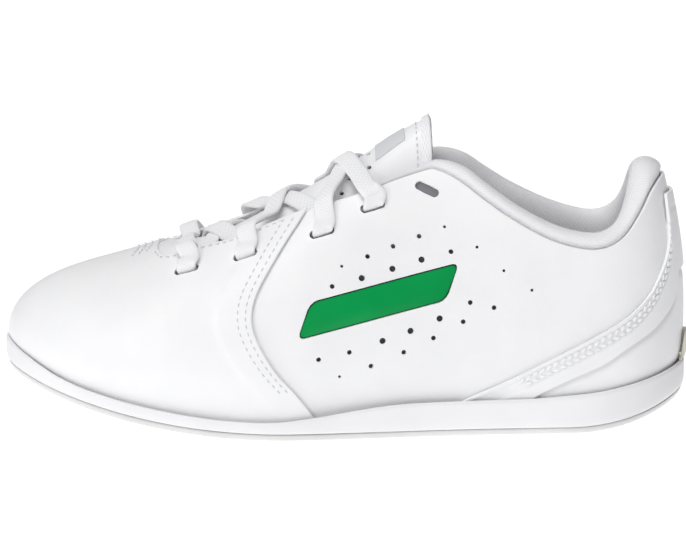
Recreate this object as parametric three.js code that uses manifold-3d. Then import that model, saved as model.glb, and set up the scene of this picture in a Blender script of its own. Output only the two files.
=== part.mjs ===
// A low-cut cheer shoe for the left foot, in the size that a child wears: leather upper, cupped
// rubber and foam sole, padded collar, hinged tongue, lace and a snap-in colour bar.
// Millimetres. The toe points to -X, the outer (lateral) side faces -Y and +Z is up. The origin
// is the middle of the bounding box, on the ground.
import * as THREE from "three";
import { mergeVertices } from "three/addons/utils/BufferGeometryUtils.js";
import Module from "manifold-3d";

const wasm = await Module();
wasm.setup();

// ---- Driving dimensions -------------------------------------------------------------------

const LENGTH = 224; // upper at the sole line, heel to toe
const WIDTH = 78; // upper at the sole line, across the ball
const HEIGHT = 102; // ground to the top of the tongue

const LEATHER = 1.4; // quarters
const VAMP_LEATHER = 1.3;
const OVERLAY = 1.2; // heel band and heel cup
const STIFFENER = 0.9; // toe puff, heel counter, eyestay and side backing
const LINING = 0.9;
const LINING_MARGIN = 1.6; // the lining and backing end this far inside the throat's edge
const GAP = 0.3; // between neighbouring pieces

const OUTSOLE = 2.2;
const SOLE_LIP = 2.6; // sole edge beyond the upper's design surface
const LIP_THICKNESS = 1; // top edge of the cup
const FOOTBED_SHARE = 0.66; // footbed height as a share of the sidewall height
const TUCK = 2.4; // how far the upper draws in below the rim
const BOARD = 1.0;
const SOCKLINER = 3.2;
const TREAD_DEPTH = 1.2;
const TREAD_WIDTH = 2.2;
const TREAD_PITCH = 11;

const COLLAR_DEPTH = 20; // padding below the top line
const COLLAR_FABRIC = 0.8;

const TONGUE_FACE = 1.2;
const TONGUE_FOAM = 2.2;
const TONGUE_LINING = 0.8;
const PATCH_THICKNESS = 0.6;
const PATCH_REACH = 1 / 3; // share of the way across the tongue, to either side
const PATCH_SPAN = [0.83, 0.96]; // shares of the way along the tongue

const LACE_WIDTH = 6.5;
const LACE_THICKNESS = 1.2;
const EYELET_LENGTH = 8.4;
const EYELET_WIDTH = 3.2;
const AGLET_LENGTH = 18;
const AGLET_DIAMETER = 3.6;

const BAR_LENGTH = 50; // colour bar window
const BAR_HEIGHT = 11;
const BAR_CORNER = 2.4;
const BAR_PLAY = 0.4; // colour bar to window edge
const BAR_RECESS = 0.5; // colour bar below the leather
const BAR_THICKNESS = 1.1;

// ---- Grading: the pattern is drawn for the size below and stretched to the driving size ----

const PATTERN = { length: 224, width: 78, height: 102 };
const GX = LENGTH / PATTERN.length;
const GY = WIDTH / PATTERN.width;
const GZ = HEIGHT / PATTERN.height;

// ---- Curves -------------------------------------------------------------------------------

// Control points of the uniform cubic B-spline that passes through the given rows of numbers.
function splineControls(rows, closed) {
  const n = rows.length;
  const c = rows.map((r) => [...r]);
  for (let pass = 0; pass < 60; pass++) {
    for (let i = 0; i < n; i++) {
      if (!closed && (i === 0 || i === n - 1)) continue;
      const before = c[(i - 1 + n) % n];
      const after = c[(i + 1) % n];
      c[i] = rows[i].map((v, k) => (6 * v - before[k] - after[k]) / 4);
    }
  }
  return c;
}

// A smooth curve through rows of numbers: u runs from 0 to 1, and wraps if the curve is closed.
function spline(rows, closed = false) {
  const c = splineControls(rows, closed);
  const n = rows.length;
  const spans = closed ? n : n - 1;
  const control = (k) => {
    if (closed) return c[(k + n) % n];
    if (k < 0) return c[0].map((v, j) => 2 * v - c[1][j]);
    if (k >= n) return c[n - 1].map((v, j) => 2 * v - c[n - 2][j]);
    return c[k];
  };
  return (u) => {
    const x = (closed ? u - Math.floor(u) : Math.min(Math.max(u, 0), 1)) * spans;
    const i = Math.min(Math.floor(x), spans - 1);
    const f = x - i;
    const w = [(1 - f) ** 3, 3 * f ** 3 - 6 * f ** 2 + 4, -3 * f ** 3 + 3 * f ** 2 + 3 * f + 1, f ** 3];
    return rows[0].map((_, j) => w.reduce((sum, wk, k) => sum + (wk / 6) * control(i - 1 + k)[j], 0));
  };
}

// A smooth height over position, through [position, height] pairs.
function heightLine(pairs) {
  const slope = (k) => {
    const a = pairs[Math.max(k - 1, 0)];
    const b = pairs[Math.min(k + 1, pairs.length - 1)];
    return (b[1] - a[1]) / (b[0] - a[0]);
  };
  return (x) => {
    const last = pairs.length - 1;
    if (x <= pairs[0][0]) return pairs[0][1] + slope(0) * (x - pairs[0][0]);
    if (x >= pairs[last][0]) return pairs[last][1] + slope(last) * (x - pairs[last][0]);
    let i = 0;
    while (pairs[i + 1][0] < x) i++;
    const h = pairs[i + 1][0] - pairs[i][0];
    const t = (x - pairs[i][0]) / h;
    return (
      (2 * t ** 3 - 3 * t * t + 1) * pairs[i][1] +
      (t ** 3 - 2 * t * t + t) * h * slope(i) +
      (3 * t * t - 2 * t ** 3) * pairs[i + 1][1] +
      (t ** 3 - t * t) * h * slope(i + 1)
    );
  };
}

// ---- Sole heights over the length ----------------------------------------------------------

const TOE_SPRING = 0.00185; // curve of the toe's rise, from the ball forward
const HEEL_ROLL = 0.0065;
const BALL_X = -15 * GX;
const HEEL_ROLL_X = 75 * GX;
const sidewallHeight = heightLine(
  [[-114, 10], [-104, 8.6], [-92, 6.9], [-77, 6.5], [-60, 6.4], [-40, 6.1], [-22, 6.3], [-9, 7.7], [6, 9.9],
    [19, 11.3], [41, 11.8], [62, 12.1], [77, 13.1], [94, 13.2], [107, 12], [114, 11]].map(([x, h]) => [x * GX, h]),
);
const ground = (x) =>
  TOE_SPRING * Math.min(0, x - BALL_X) ** 2 + HEEL_ROLL * Math.max(0, x - HEEL_ROLL_X) ** 2;
const rim = (x) => ground(x) + sidewallHeight(x);
const footbed = (x) => ground(x) + FOOTBED_SHARE * sidewallHeight(x);

// ---- The upper's design surface: the outside of the quarters -------------------------------

// From the heel's middle to the toe's tip: outer edge x, y; inner edge x, y; top x, y, z; how
// much of the top is a ridge (1) or an ankle wall (0); how far the wall bulges near its top.
const STATIONS = [
  [111.5, 0, 111.5, 0, 104.5, 0, 90, 0, 7],
  [106.7, -12.5, 106.7, 12.5, 101.2, -10, 90, 0, 6],
  [94, -22.5, 94, 21.5, 91, -17, 90, 0, 4],
  [75, -27, 75, 25, 76, -19.5, 90, 0, 2.5],
  [52, -29, 52, 25, 60, -20.5, 91, 0, 2.5],
  [27, -32, 27, 25.5, 44, -19, 95, 0.1, 2.5],
  [2, -36, 2, 29, 27, -9, 99, 0.6, 2.5],
  [-22, -39, -22, 35.5, 5, -1, 89, 1, 0],
  [-45, -39, -45, 39, -18, 0, 76.5, 1, 0],
  [-67, -35.5, -67, 38, -40, 0, 66, 1, 0],
  [-87.5, -27, -87.5, 32, -60, 0, 58.5, 1, 0],
  [-103, -13.3, -103, 21.8, -72, 0, 55, 1, 0],
  [-110.4, 5, -110.4, 5, -76, 0, 54, 1, 0],
];
const RIDGE_SLOPE = heightLine([[-80, 0.25], [-60, 0.3], [-40, 0.4], [-18, 0.52], [5, 0.5], [27, 0.45]]);
const CROWN = 0.62; // how far the profile runs level from the ridge, as a share of its reach

const outerSide = STATIONS.map(([ox, oy, , , tx, ty, tz, ridge, bulge]) => [ox, oy, tx, ty, tz, ridge, bulge]);
const innerSide = STATIONS.map(([, , ix, iy, tx, ty, tz, ridge, bulge]) => [ix, iy, tx, -ty, tz, ridge, bulge]);
const around = spline([...outerSide, ...innerSide.slice(1, -1).reverse()], true);
const LAST_STEP = 1e-3;

// Everything that the surface needs at s, which runs from the heel (0) by the outer side to the
// toe (0.5) and back by the inner side.
const sectionCache = new Map();
function section(s) {
  const key = Math.round((s - Math.floor(s)) * 1e7);
  if (sectionCache.has(key)) return sectionCache.get(key);
  const [fx, fy, tx, ty, tz, ridge, bulge] = around(s);
  const before = around(s - LAST_STEP);
  const after = around(s + LAST_STEP);
  const along = new THREE.Vector2((after[0] - before[0]) * GX, (after[1] - before[1]) * GY).normalize();
  const outward = new THREE.Vector2(-along.y, along.x);
  const onRidge = ridge > 0.97;
  const share = onRidge ? 1 : Math.max(ridge, 0);
  const foot = new THREE.Vector3(fx * GX, fy * GY, 0);
  foot.z = footbed(foot.x) + GAP;
  const top = new THREE.Vector3(tx * GX, onRidge ? 0 : ty * GY, tz * GZ);
  const rise = top.z - foot.z;
  const slope = RIDGE_SLOPE(tx) * (GZ / GX);
  const level = new THREE.Vector3(foot.x - top.x, foot.y - top.y, 0).multiplyScalar(CROWN);
  level.z = slope * level.x;
  const wall = new THREE.Vector3(outward.x * bulge, outward.y * bulge, -0.33 * rise);
  const upper = top.clone().addScaledVector(level, share).addScaledVector(wall, 1 - share);
  const lean = 3 + share;
  const lower = foot.clone().add(new THREE.Vector3(outward.x * lean, outward.y * lean, (0.36 + 0.2 * share) * rise));
  const made = { foot, lower, upper, top, outward, onRidge, slope, rise };
  sectionCache.set(key, made);
  return made;
}

function designPoint(s, t) {
  const { foot, lower, upper, top } = section(s);
  const u = 1 - t;
  return new THREE.Vector3()
    .addScaledVector(foot, u ** 3)
    .addScaledVector(lower, 3 * u * u * t)
    .addScaledVector(upper, 3 * u * t * t)
    .addScaledVector(top, t ** 3);
}

function designNormal(s, t) {
  const here = section(s);
  if (here.onRidge && t > 1 - 1e-6) return new THREE.Vector3(-here.slope, 0, 1).normalize();
  const lowT = Math.max(t - LAST_STEP, 0);
  const highT = Math.min(t + LAST_STEP, 1);
  const up = designPoint(s, highT).sub(designPoint(s, lowT));
  const along = designPoint(s + LAST_STEP, t).sub(designPoint(s - LAST_STEP, t));
  return up.cross(along).normalize();
}

const TUCK_END = 0.14; // share of the profile over which the upper draws in
// A point at a distance outside the design surface. Below the rim the upper tucks in.
function upperPoint(s, t, distance) {
  const tuck = TUCK * Math.max(0, 1 - t / TUCK_END) ** 2;
  return designPoint(s, t).addScaledVector(designNormal(s, t), distance - tuck);
}

// The share of the profile that lies a distance down the surface from another share.
function shareDown(s, t, distance) {
  const steps = 12;
  let share = t;
  for (let i = 0; i < steps; i++) {
    const rate = designPoint(s, share).distanceTo(designPoint(s, share - LAST_STEP)) / LAST_STEP;
    share = Math.max(share - distance / steps / rate, 0.02);
  }
  return share;
}

// ---- Pattern lines, seen from the side and from above ----------------------------------------

const OUTER = -1;
const INNER = 1;

const graded = (pairs) => pairs.map(([x, z]) => [x * GX, z * GZ]);
// Throat edge, then collar edge: height over length.
const topLine = heightLine(
  graded([[-63, 66], [-60.5, 60.2], [-58.5, 58], [-55, 57], [-48, 59.2], [-37, 62.6], [-20, 69.6], [-3, 75.6],
    [9, 81], [16, 83.8], [23, 86.2], [28, 86.6], [33, 85.4], [39, 82.2], [46, 77], [57, 69.6], [69, 63.4],
    [80, 60.6], [87, 61.2], [93, 65], [98, 71.8], [102, 78.6], [106, 82.6], [112, 84]]),
);
// The throat seen from above: length, and its edge on the outer and on the inner side. It ends
// where the ankle edge begins.
const THROAT_END = 28;
const THROAT = [[-61, 8.5, 8.5], [-59, 14, 14], [-55, 16.3, 16.3], [-48.6, 17, 17], [-42.5, 18.1, 17.9], [-36, 19.6, 19],
  [-20, 20.8, 19.6], [-3, 21.6, 19.4], [9, 20.4, 17.6], [16, 19, 16.2], [23, 18, 15.7], [THROAT_END, 17.6, 15.9]];
const INNER_RAISE = 2.5 * GZ; // the inner side's ankle edge is higher
const raiseOnInner = (x) => INNER_RAISE * Math.exp(-(((x / GX - 72) / 22) ** 2));
// Edge of the vamp, and the hidden front edge of the quarters: length over height.
const seamLine = heightLine(
  graded([[-8.5, 6], [-14.7, 14.6], [-21.2, 22], [-26.4, 30], [-29.2, 37], [-29.3, 43], [-27.5, 48.5],
    [-23.8, 55], [-18, 64], [-11.5, 73], [-6, 81]]).map(([x, z]) => [z, x]),
);
const UNDERLAP = 12; // the quarters run this far under the vamp

// The share of the profile at which it meets a height given over length.
function shareAtLine(s, line) {
  const above = (t) => {
    const p = designPoint(s, t);
    return p.z - line(p.x, p.y) > 0;
  };
  if (!above(1)) return 1;
  let low = 0.02;
  let high = 1;
  for (let i = 0; i < 40; i++) {
    const middle = (low + high) / 2;
    if (above(middle)) high = middle;
    else low = middle;
  }
  return low;
}
const topShare = (s) => shareAtLine(s, (x, y) => topLine(x) + (y > 0 ? raiseOnInner(x) : 0));


// ---- Meshes and solids ----------------------------------------------------------------------

// Joins strips of points into one closed geometry.
class Surface {
  constructor() {
    this.numbers = [];
  }
  triangle(a, b, c) {
    const tiny = 1e-4;
    if (a.distanceTo(b) < tiny || b.distanceTo(c) < tiny || c.distanceTo(a) < tiny) return;
    this.numbers.push(...a.toArray(), ...b.toArray(), ...c.toArray());
  }
  quad(a, b, c, d) {
    this.triangle(a, b, c);
    this.triangle(a, c, d);
  }
  // The faces between rows of points, each as long as the next. The diagonals don't depend on
  // the side that the faces look to, so that stacked layers stay parallel.
  rows(rows, turned = false) {
    for (let i = 0; i + 1 < rows.length; i++) {
      for (let j = 0; j + 1 < rows[i].length; j++) {
        const [a, b, c, d] = [rows[i][j], rows[i][j + 1], rows[i + 1][j + 1], rows[i + 1][j]];
        if (turned) {
          this.triangle(a, c, b);
          this.triangle(a, d, c);
        } else {
          this.quad(a, b, c, d);
        }
      }
    }
  }
  geometry() {
    const g = new THREE.BufferGeometry();
    g.setAttribute("position", new THREE.Float32BufferAttribute(this.numbers, 3));
    return mergeVertices(g, 1e-3);
  }
}

function solidOf(geometry) {
  const bare = geometry.index ? geometry.toNonIndexed() : geometry.clone();
  bare.deleteAttribute("normal");
  bare.deleteAttribute("uv");
  const merged = mergeVertices(bare, 1e-3);
  const mesh = () => ({
    numProp: 3,
    vertProperties: new Float32Array(merged.attributes.position.array),
    triVerts: new Uint32Array(merged.index.array),
  });
  const made = new wasm.Manifold(new wasm.Mesh(mesh()));
  if (made.volume() > 0) return made;
  const turned = mesh();
  for (let i = 0; i < turned.triVerts.length; i += 3) {
    [turned.triVerts[i + 1], turned.triVerts[i + 2]] = [turned.triVerts[i + 2], turned.triVerts[i + 1]];
  }
  return new wasm.Manifold(new wasm.Mesh(turned));
}

function geometryOf(solid) {
  const mesh = solid.getMesh();
  const places = new Float32Array(mesh.numVert * 3);
  for (let i = 0; i < mesh.numVert; i++) {
    places.set(mesh.vertProperties.subarray(i * mesh.numProp, i * mesh.numProp + 3), i * 3);
  }
  const g = new THREE.BufferGeometry();
  g.setAttribute("position", new THREE.BufferAttribute(places, 3));
  g.setIndex(new THREE.BufferAttribute(mesh.triVerts, 1));
  return g;
}

const AROUND = 48; // columns round the whole upper
const SHARES = [0, 0.04, 0.1, 0.2, 0.34, 0.5, 0.66, 0.8, 0.91, 1];
const LEVELS = SHARES.length - 1;

// A thick sheet between two distances from the design surface, from one column to another. Every
// sheet has the same columns and shares, so that neighbouring layers stay parallel.
function layer(first, last, inside, outside) {
  const steps = Array.from({ length: last - first + 1 }, (_, i) => (first + i) / AROUND);
  const face = (distance) => steps.map((s) => SHARES.map((t) => upperPoint(s, t, distance)));
  const outer = face(outside);
  const inner = face(inside);
  // On the ridge both sides share their top points, so a sheet that holds both sides is joined there.
  const fold = steps.map((s) => section(s).onRidge && first + last === AROUND);
  const made = new Surface();
  made.rows(outer);
  made.rows(inner, true);
  for (let i = 0; i + 1 < steps.length; i++) {
    made.quad(outer[i][0], outer[i + 1][0], inner[i + 1][0], inner[i][0]);
    if (fold[i] && fold[i + 1]) continue;
    made.quad(outer[i + 1][LEVELS], outer[i][LEVELS], inner[i][LEVELS], inner[i + 1][LEVELS]);
  }
  const end = steps.length - 1;
  for (let j = 0; j < LEVELS; j++) {
    made.quad(outer[0][j + 1], outer[0][j], inner[0][j], inner[0][j + 1]);
    made.quad(outer[end][j], outer[end][j + 1], inner[end][j + 1], inner[end][j]);
  }
  return solidOf(made.geometry());
}

const FAR = 150; // beyond every piece
const ABOVE = HEIGHT + 20;

// An outline in the side view as a solid across the shoe, or across one side of it.
function sidePrism(points, yLow = -FAR, yHigh = FAR) {
  const shape = new THREE.Shape(points.map(([x, z]) => new THREE.Vector2(x, z)));
  const g = new THREE.ExtrudeGeometry(shape, { depth: yHigh - yLow, bevelEnabled: false, steps: 1 });
  g.rotateX(Math.PI / 2);
  g.translate(0, yHigh, 0);
  return solidOf(g);
}

const LINE_STEPS = 20;
const overLength = (line, from, to, lift, steps) =>
  Array.from({ length: steps + 1 }, (_, i) => {
    const x = from + ((to - from) * i) / steps;
    return [x, line(x) + lift];
  });

// Everything in front of a line given as length over height.
function inFrontOf(line, shift = 0) {
  const edge = Array.from({ length: LINE_STEPS + 1 }, (_, i) => {
    const z = -5 + (i * (ABOVE + 5)) / LINE_STEPS;
    return [line(z) + shift, z];
  });
  return sidePrism([[-FAR, -5], ...edge, [-FAR, ABOVE]]);
}

// An outline seen from above as a solid from the ground up.
function planPrism(points) {
  const shape = new THREE.Shape(points.map(([x, y]) => new THREE.Vector2(x, y)));
  return solidOf(new THREE.ExtrudeGeometry(shape, { depth: ABOVE, bevelEnabled: false, steps: 1 }));
}

// The throat, grown by a margin, and everything above the ankle edge, lowered by a drop. The
// inner side's ankle edge is a little higher.
const REAR_X = 122 * GX;
const TOP_STEPS = 26;
function throatPrism(margin) {
  const edge = (side) =>
    THROAT.map(([x, outer, inner], i) => {
      const forward = i < 2 ? margin : 0;
      return [x * GX - forward, side * ((side === OUTER ? outer : inner) * GY + margin)];
    });
  return planPrism([...edge(OUTER), ...edge(INNER).reverse()]);
}
function aboveAnkle(drop) {
  const from = THROAT_END * GX;
  const edge = (raise) => overLength((x) => topLine(x) + raise(x), from, REAR_X, -drop, TOP_STEPS);
  const half = (raise, yLow, yHigh) => sidePrism([[from, ABOVE], ...edge(raise), [REAR_X, ABOVE]], yLow, yHigh);
  return half(() => 0, -FAR, 0).add(half(raiseOnInner, 0, FAR));
}
const aboveTopLine = (drop = 0) => throatPrism(drop).add(aboveAnkle(drop));

// The column and share of the point of one side that is at x and z in the side view.
function locate(x, z, side) {
  const place = (s) => (side === OUTER ? s : 1 - s);
  let best = { gap: Infinity };
  for (let i = 1; i < 48; i++) {
    for (let j = 1; j < 24; j++) {
      const p = designPoint(place(i / 96), j / 24);
      const gap = Math.hypot(p.x - x, p.z - z);
      if (gap < best.gap) best = { gap, s: i / 96, t: j / 24 };
    }
  }
  let { s, t } = best;
  for (let pass = 0; pass < 20; pass++) {
    const p = designPoint(place(s), t);
    const ds = designPoint(place(s + LAST_STEP), t).sub(p).divideScalar(LAST_STEP);
    const dt = designPoint(place(s), t - LAST_STEP).sub(p).divideScalar(-LAST_STEP);
    const det = ds.x * dt.z - dt.x * ds.z;
    s += (dt.z * (x - p.x) - dt.x * (z - p.z)) / det / 1.5;
    t += (-ds.z * (x - p.x) + ds.x * (z - p.z)) / det / 1.5;
    t = Math.min(Math.max(t, 0.02), 0.98);
  }
  return { s: place(s), t };
}

// The direction on the surface that has a slope in the side view.
function alongSurface(s, t, tilt) {
  const out = designNormal(s, t);
  const along = new THREE.Vector3(Math.cos(tilt), 0, Math.sin(tilt));
  return along.addScaledVector(out, -along.dot(out)).normalize();
}

// A slot or round hole square to the upper at a point of the pattern.
function slotCutter([x, z, tilt], side, length, width, sides = 4) {
  const { s, t } = locate(x * GX, z * GZ, side);
  const out = designNormal(s, t);
  const along = alongSurface(s, t, tilt);
  const across = new THREE.Vector3().crossVectors(out, along);
  const shape = new THREE.Shape();
  const reach = (length - width) / 2;
  shape.absarc(reach, 0, width / 2, -Math.PI / 2, Math.PI / 2, false);
  shape.absarc(-reach, 0, width / 2, Math.PI / 2, (3 * Math.PI) / 2, false);
  const g = new THREE.ExtrudeGeometry(shape, { depth: 16, bevelEnabled: false, curveSegments: sides });
  g.translate(0, 0, -9);
  g.applyMatrix4(new THREE.Matrix4().makeBasis(along, across, out));
  const p = upperPoint(s, t, 0);
  g.translate(p.x, p.y, p.z);
  return solidOf(g);
}

const unite = (solids) => solids.reduce((a, b) => a.add(b));

// ---- Layers of the upper: distances from the design surface ---------------------------------

const QUARTER = [-LEATHER, 0];
const VAMP = [GAP, GAP + VAMP_LEATHER];
const HEEL_OVERLAY = [GAP, GAP + OVERLAY];
const PUFF = [-STIFFENER, 0];
const BACKING = [-LEATHER - GAP - STIFFENER, -LEATHER - GAP];
const INSIDE = [BACKING[0] - GAP - LINING, BACKING[0] - GAP];
const LACE_ROOM = 0.8; // from the lace to the lining and to the tongue
const LACE_INSIDE = INSIDE[0] - LACE_ROOM - LACE_THICKNESS / 2;
const TONGUE_TOP = LACE_INSIDE - LACE_ROOM - LACE_THICKNESS / 2;

// ---- Pattern --------------------------------------------------------------------------------

// Length, height and slope of each slot, from the toe; the last one stays open.
const EYELETS = [[-50.8, 53.5, 0.12], [-31.5, 58.8, 0.24], [-6.9, 67.1, 0.34], [9.6, 74.9, 0.36], [27.4, 80.1, -0.5]];
// Rows of air holes beside the bar: length, height and diameter.
const [HOLE_L, HOLE_M, HOLE_S] = [2.1, 1.6, 1.0];
const HOLES = [
  [-0.4, 56.5, HOLE_S], [8, 59.4, HOLE_M], [16.3, 62.4, HOLE_M], [24.8, 65.4, HOLE_M], [33.1, 68.3, HOLE_S],
  [-3.5, 50.2, HOLE_M], [6.1, 52.6, HOLE_L], [16.1, 55.3, HOLE_L], [25.6, 58, HOLE_L], [35.2, 60.4, HOLE_M], [43.7, 61.8, HOLE_S],
  [-7.9, 26.7, HOLE_M], [2.1, 28.8, HOLE_M], [12.9, 32.2, HOLE_L], [22, 35.2, HOLE_L], [31.5, 39, HOLE_L], [41.5, 44, HOLE_M],
  [-1.1, 20.9, HOLE_S], [9.1, 24.1, HOLE_M], [19.8, 28.3, HOLE_M], [29.5, 32.7, HOLE_M], [39.2, 37.8, HOLE_M], [49.3, 42.2, HOLE_M],
  [52.5, 54.1, HOLE_S], [61.7, 47.7, HOLE_S],
];
const bandTop = graded([[36, 5], [38, 10], [41, 12.2], [52, 17.3], [65.3, 23.8], [79.5, 30.7], [92.5, 37.9], [100, 44.8],
  [104, 51.9], [106.2, 58], [106.8, 65], [106, 72], [104.6, 76.8], [122, 78.2]]);
const bandFoot = graded([[59, 5], [62.7, 12.2], [74, 18.3], [85.5, 23.3], [92, 27.6], [101.4, 33.7], [106.2, 38.5],
  [108.6, 42.7], [109.8, 47.6], [111, 52], [122, 54]]);
const shifted = (points, dx, dz) => points.map(([x, z]) => [x + dx, z + dz]);
const heelCorner = [[REAR_X, -5]];
const underBandTop = () => sidePrism([...bandTop, ...heelCorner, [bandTop[0][0], -5]]);
const underBandFoot = (dx = 0, dz = 0) =>
  sidePrism([...shifted(bandFoot, dx, dz), [REAR_X + dx, -5], [bandFoot[0][0] + dx, -5]]);

const BAR_MIDDLE = [11.5 * GX, 45 * GZ];
const BAR_SLOPE = 0.235;
const BAR_SLANT = 7; // how far the bar's ends lean forward at the top
function barOutline(grow) {
  const half = BAR_LENGTH / 2 + grow;
  const tall = BAR_HEIGHT / 2 + grow;
  const shape = new THREE.Shape();
  const corners = [[-half, -tall], [half, -tall], [half, tall], [-half, tall]].map(([a, b]) => {
    const x = a + (b / tall) * (BAR_SLANT / 2);
    return new THREE.Vector2(
      BAR_MIDDLE[0] + x * Math.cos(BAR_SLOPE) - b * Math.sin(BAR_SLOPE),
      BAR_MIDDLE[1] + x * Math.sin(BAR_SLOPE) + b * Math.cos(BAR_SLOPE),
    );
  });
  const corner = BAR_CORNER + Math.max(grow, 0);
  corners.forEach((c, i) => {
    const before = corners[(i + 3) % 4];
    const after = corners[(i + 1) % 4];
    const start = c.clone().add(before.clone().sub(c).setLength(corner));
    const stop = c.clone().add(after.clone().sub(c).setLength(corner));
    if (i === 0) shape.moveTo(start.x, start.y);
    else shape.lineTo(start.x, start.y);
    shape.quadraticCurveTo(c.x, c.y, stop.x, stop.y);
  });
  return shape.getPoints(3).map((p) => [p.x, p.y]);
}
const barPrism = (grow) => sidePrism(barOutline(grow), -FAR, 0);

// ---- Upper ----------------------------------------------------------------------------------

const HALF = AROUND / 2;
const FRONT_COLUMN = 10; // the vamp's sheets start here; the quarters' end at QUARTER_COLUMN
const QUARTER_COLUMN = 17;
const pieces = {};

const eyeletCutters = unite(
  [OUTER, INNER].flatMap((side) => EYELETS.map((e) => slotCutter(e, side, EYELET_LENGTH, EYELET_WIDTH, 2))),
);
const holes = (side) =>
  unite(HOLES.filter(([, , d]) => d === HOLE_L).map(([x, z, d]) => slotCutter([x, z, 0], side, d + 0.02, d, 2)));
const openTop = aboveTopLine();
const vampZone = inFrontOf(seamLine);
const quarterFront = inFrontOf(seamLine, -UNDERLAP);
const liningFront = inFrontOf(seamLine, -UNDERLAP - 2);
const liningFrontOpen = inFrontOf(seamLine, -UNDERLAP - 2 + GAP);
const middleSeam = (width) => sidePrism([[0, -5], [FAR, -5], [FAR, ABOVE], [0, ABOVE]], -width / 2, width / 2);

pieces.vamp = layer(FRONT_COLUMN, AROUND - FRONT_COLUMN, ...VAMP)
  .intersect(vampZone)
  .subtract(openTop)
  .subtract(eyeletCutters);

const quarter = (first, last) =>
  layer(first, last, ...QUARTER).subtract(quarterFront).subtract(openTop).subtract(eyeletCutters).subtract(middleSeam(GAP));
pieces.quarter_lateral = quarter(0, QUARTER_COLUMN).subtract(barPrism(0)).subtract(holes(OUTER));
pieces.quarter_medial = quarter(AROUND - QUARTER_COLUMN, AROUND).subtract(holes(INNER));

const heelSheet = layer(-9, 9, ...HEEL_OVERLAY);
pieces.heel_band = heelSheet.intersect(underBandTop()).subtract(underBandFoot(-GAP, GAP));
pieces.heel_cup = heelSheet.intersect(underBandFoot());

const PUFF_EDGE = graded([[-66, -5], [-70, 20], [-76, 48], [-80, 70]]).map(([x, z]) => [z, x]);
pieces.toe_puff = layer(HALF - 6, HALF + 6, ...PUFF)
  .intersect(inFrontOf(heightLine(PUFF_EDGE)))
  .subtract(sidePrism(graded([[-120, -5], [-120, 12], [-60, 8], [-60, -5]])));

const COUNTER = graded([[62, 10], [66, 34], [80, 46], [96, 50], [122, 52], [122, 12], [96, 9]]);
pieces.heel_counter = layer(-8, 8, ...BACKING).intersect(sidePrism(COUNTER));

// Strips under the eyelets, from the throat's corner to the front of the collar.
const EYESTAY = 15;
const EYESTAY_ENDS = [-53 * GX, 34 * GX];
const eyestayZone = sidePrism([
  [EYESTAY_ENDS[0], ABOVE],
  ...overLength(topLine, ...EYESTAY_ENDS, -EYESTAY, 8),
  [EYESTAY_ENDS[1], ABOVE],
]);
const eyestay = (first, last) =>
  layer(first, last, ...BACKING).intersect(eyestayZone).subtract(aboveTopLine(LINING_MARGIN)).subtract(eyeletCutters);
pieces.eyestay_lateral = eyestay(7, QUARTER_COLUMN + 2);
pieces.eyestay_medial = eyestay(AROUND - QUARTER_COLUMN - 2, AROUND - 7);
pieces.bar_backing = layer(4, 14, ...BACKING).intersect(barPrism(3.5));

pieces.vamp_lining = layer(FRONT_COLUMN, AROUND - FRONT_COLUMN, ...INSIDE)
  .intersect(liningFront)
  .subtract(aboveTopLine(LINING_MARGIN))
  .subtract(eyeletCutters);


pieces.colour_bar = layer(4, 14, -BAR_RECESS - BAR_THICKNESS, -BAR_RECESS).intersect(barPrism(-BAR_PLAY));

// ---- Sole -----------------------------------------------------------------------------------

const SPINE = 0.84; // the spine that sole pieces are drawn round, as a share of their length

// A point of the sole: outward from the upper's foot line, at a share of the way from the spine.
function solePoint(s, outset, share, height) {
  const { foot, outward } = section(s);
  const spine = new THREE.Vector2(foot.x * SPINE, (foot.y + section(1 - s).foot.y) / 2);
  const edge = new THREE.Vector2(foot.x, foot.y).addScaledVector(outward, outset);
  const p = spine.lerp(edge, share);
  return new THREE.Vector3(p.x, p.y, height(p.x, share));
}

// A solid between an upper and a lower profile at every column: each profile point is [outset,
// share, height], from the spine out. Both are cut into triangles alike, so that plates stack.
function soleSolid(upperProfile, lowerProfile) {
  const made = new Surface();
  const rowsOf = (profile) =>
    Array.from({ length: AROUND + 1 }, (_, i) => {
      const s = (i % AROUND) / AROUND;
      return profile.map(([outset, share, height]) => solePoint(s, outset, share, height));
    });
  const upperRows = rowsOf(upperProfile);
  const lowerRows = rowsOf(lowerProfile);
  made.rows(upperRows);
  made.rows(lowerRows, true);
  const edge = upperRows.map((row, i) => [row[row.length - 1], lowerRows[i][lowerRows[i].length - 1]]);
  made.rows(edge);
  return solidOf(made.geometry());
}
const plate = (outset, low, high, bottomInset = 0) =>
  soleSolid(
    [[outset, 0, high], [outset, 0.6, high], [outset, 1, high]],
    [[outset, 0, low], [outset - bottomInset, 0.6, low], [outset - bottomInset, 1, low]],
  );

const outsoleTop = (x) => ground(x) + OUTSOLE;
const treadEnd = (x) => {
  const halfLength = LENGTH / 2;
  return Math.sqrt(Math.max(0, 1 - (x / halfLength) ** 4));
};
function treadCutters() {
  const cutters = [];
  for (let x = -7 * TREAD_PITCH; x <= 7 * TREAD_PITCH; x += TREAD_PITCH) {
    const reach = 0.3 * WIDTH * treadEnd(x);
    const half = TREAD_WIDTH / 2;
    const depth = ground(x) + TREAD_DEPTH;
    cutters.push(sidePrism([[x - half, -9], [x + half, -9], [x + half, depth], [x - half, depth]], -reach, reach));
  }
  return unite(cutters);
}
pieces.outsole = plate(SOLE_LIP - 0.5, ground, outsoleTop, 0.7).subtract(treadCutters());

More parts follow.
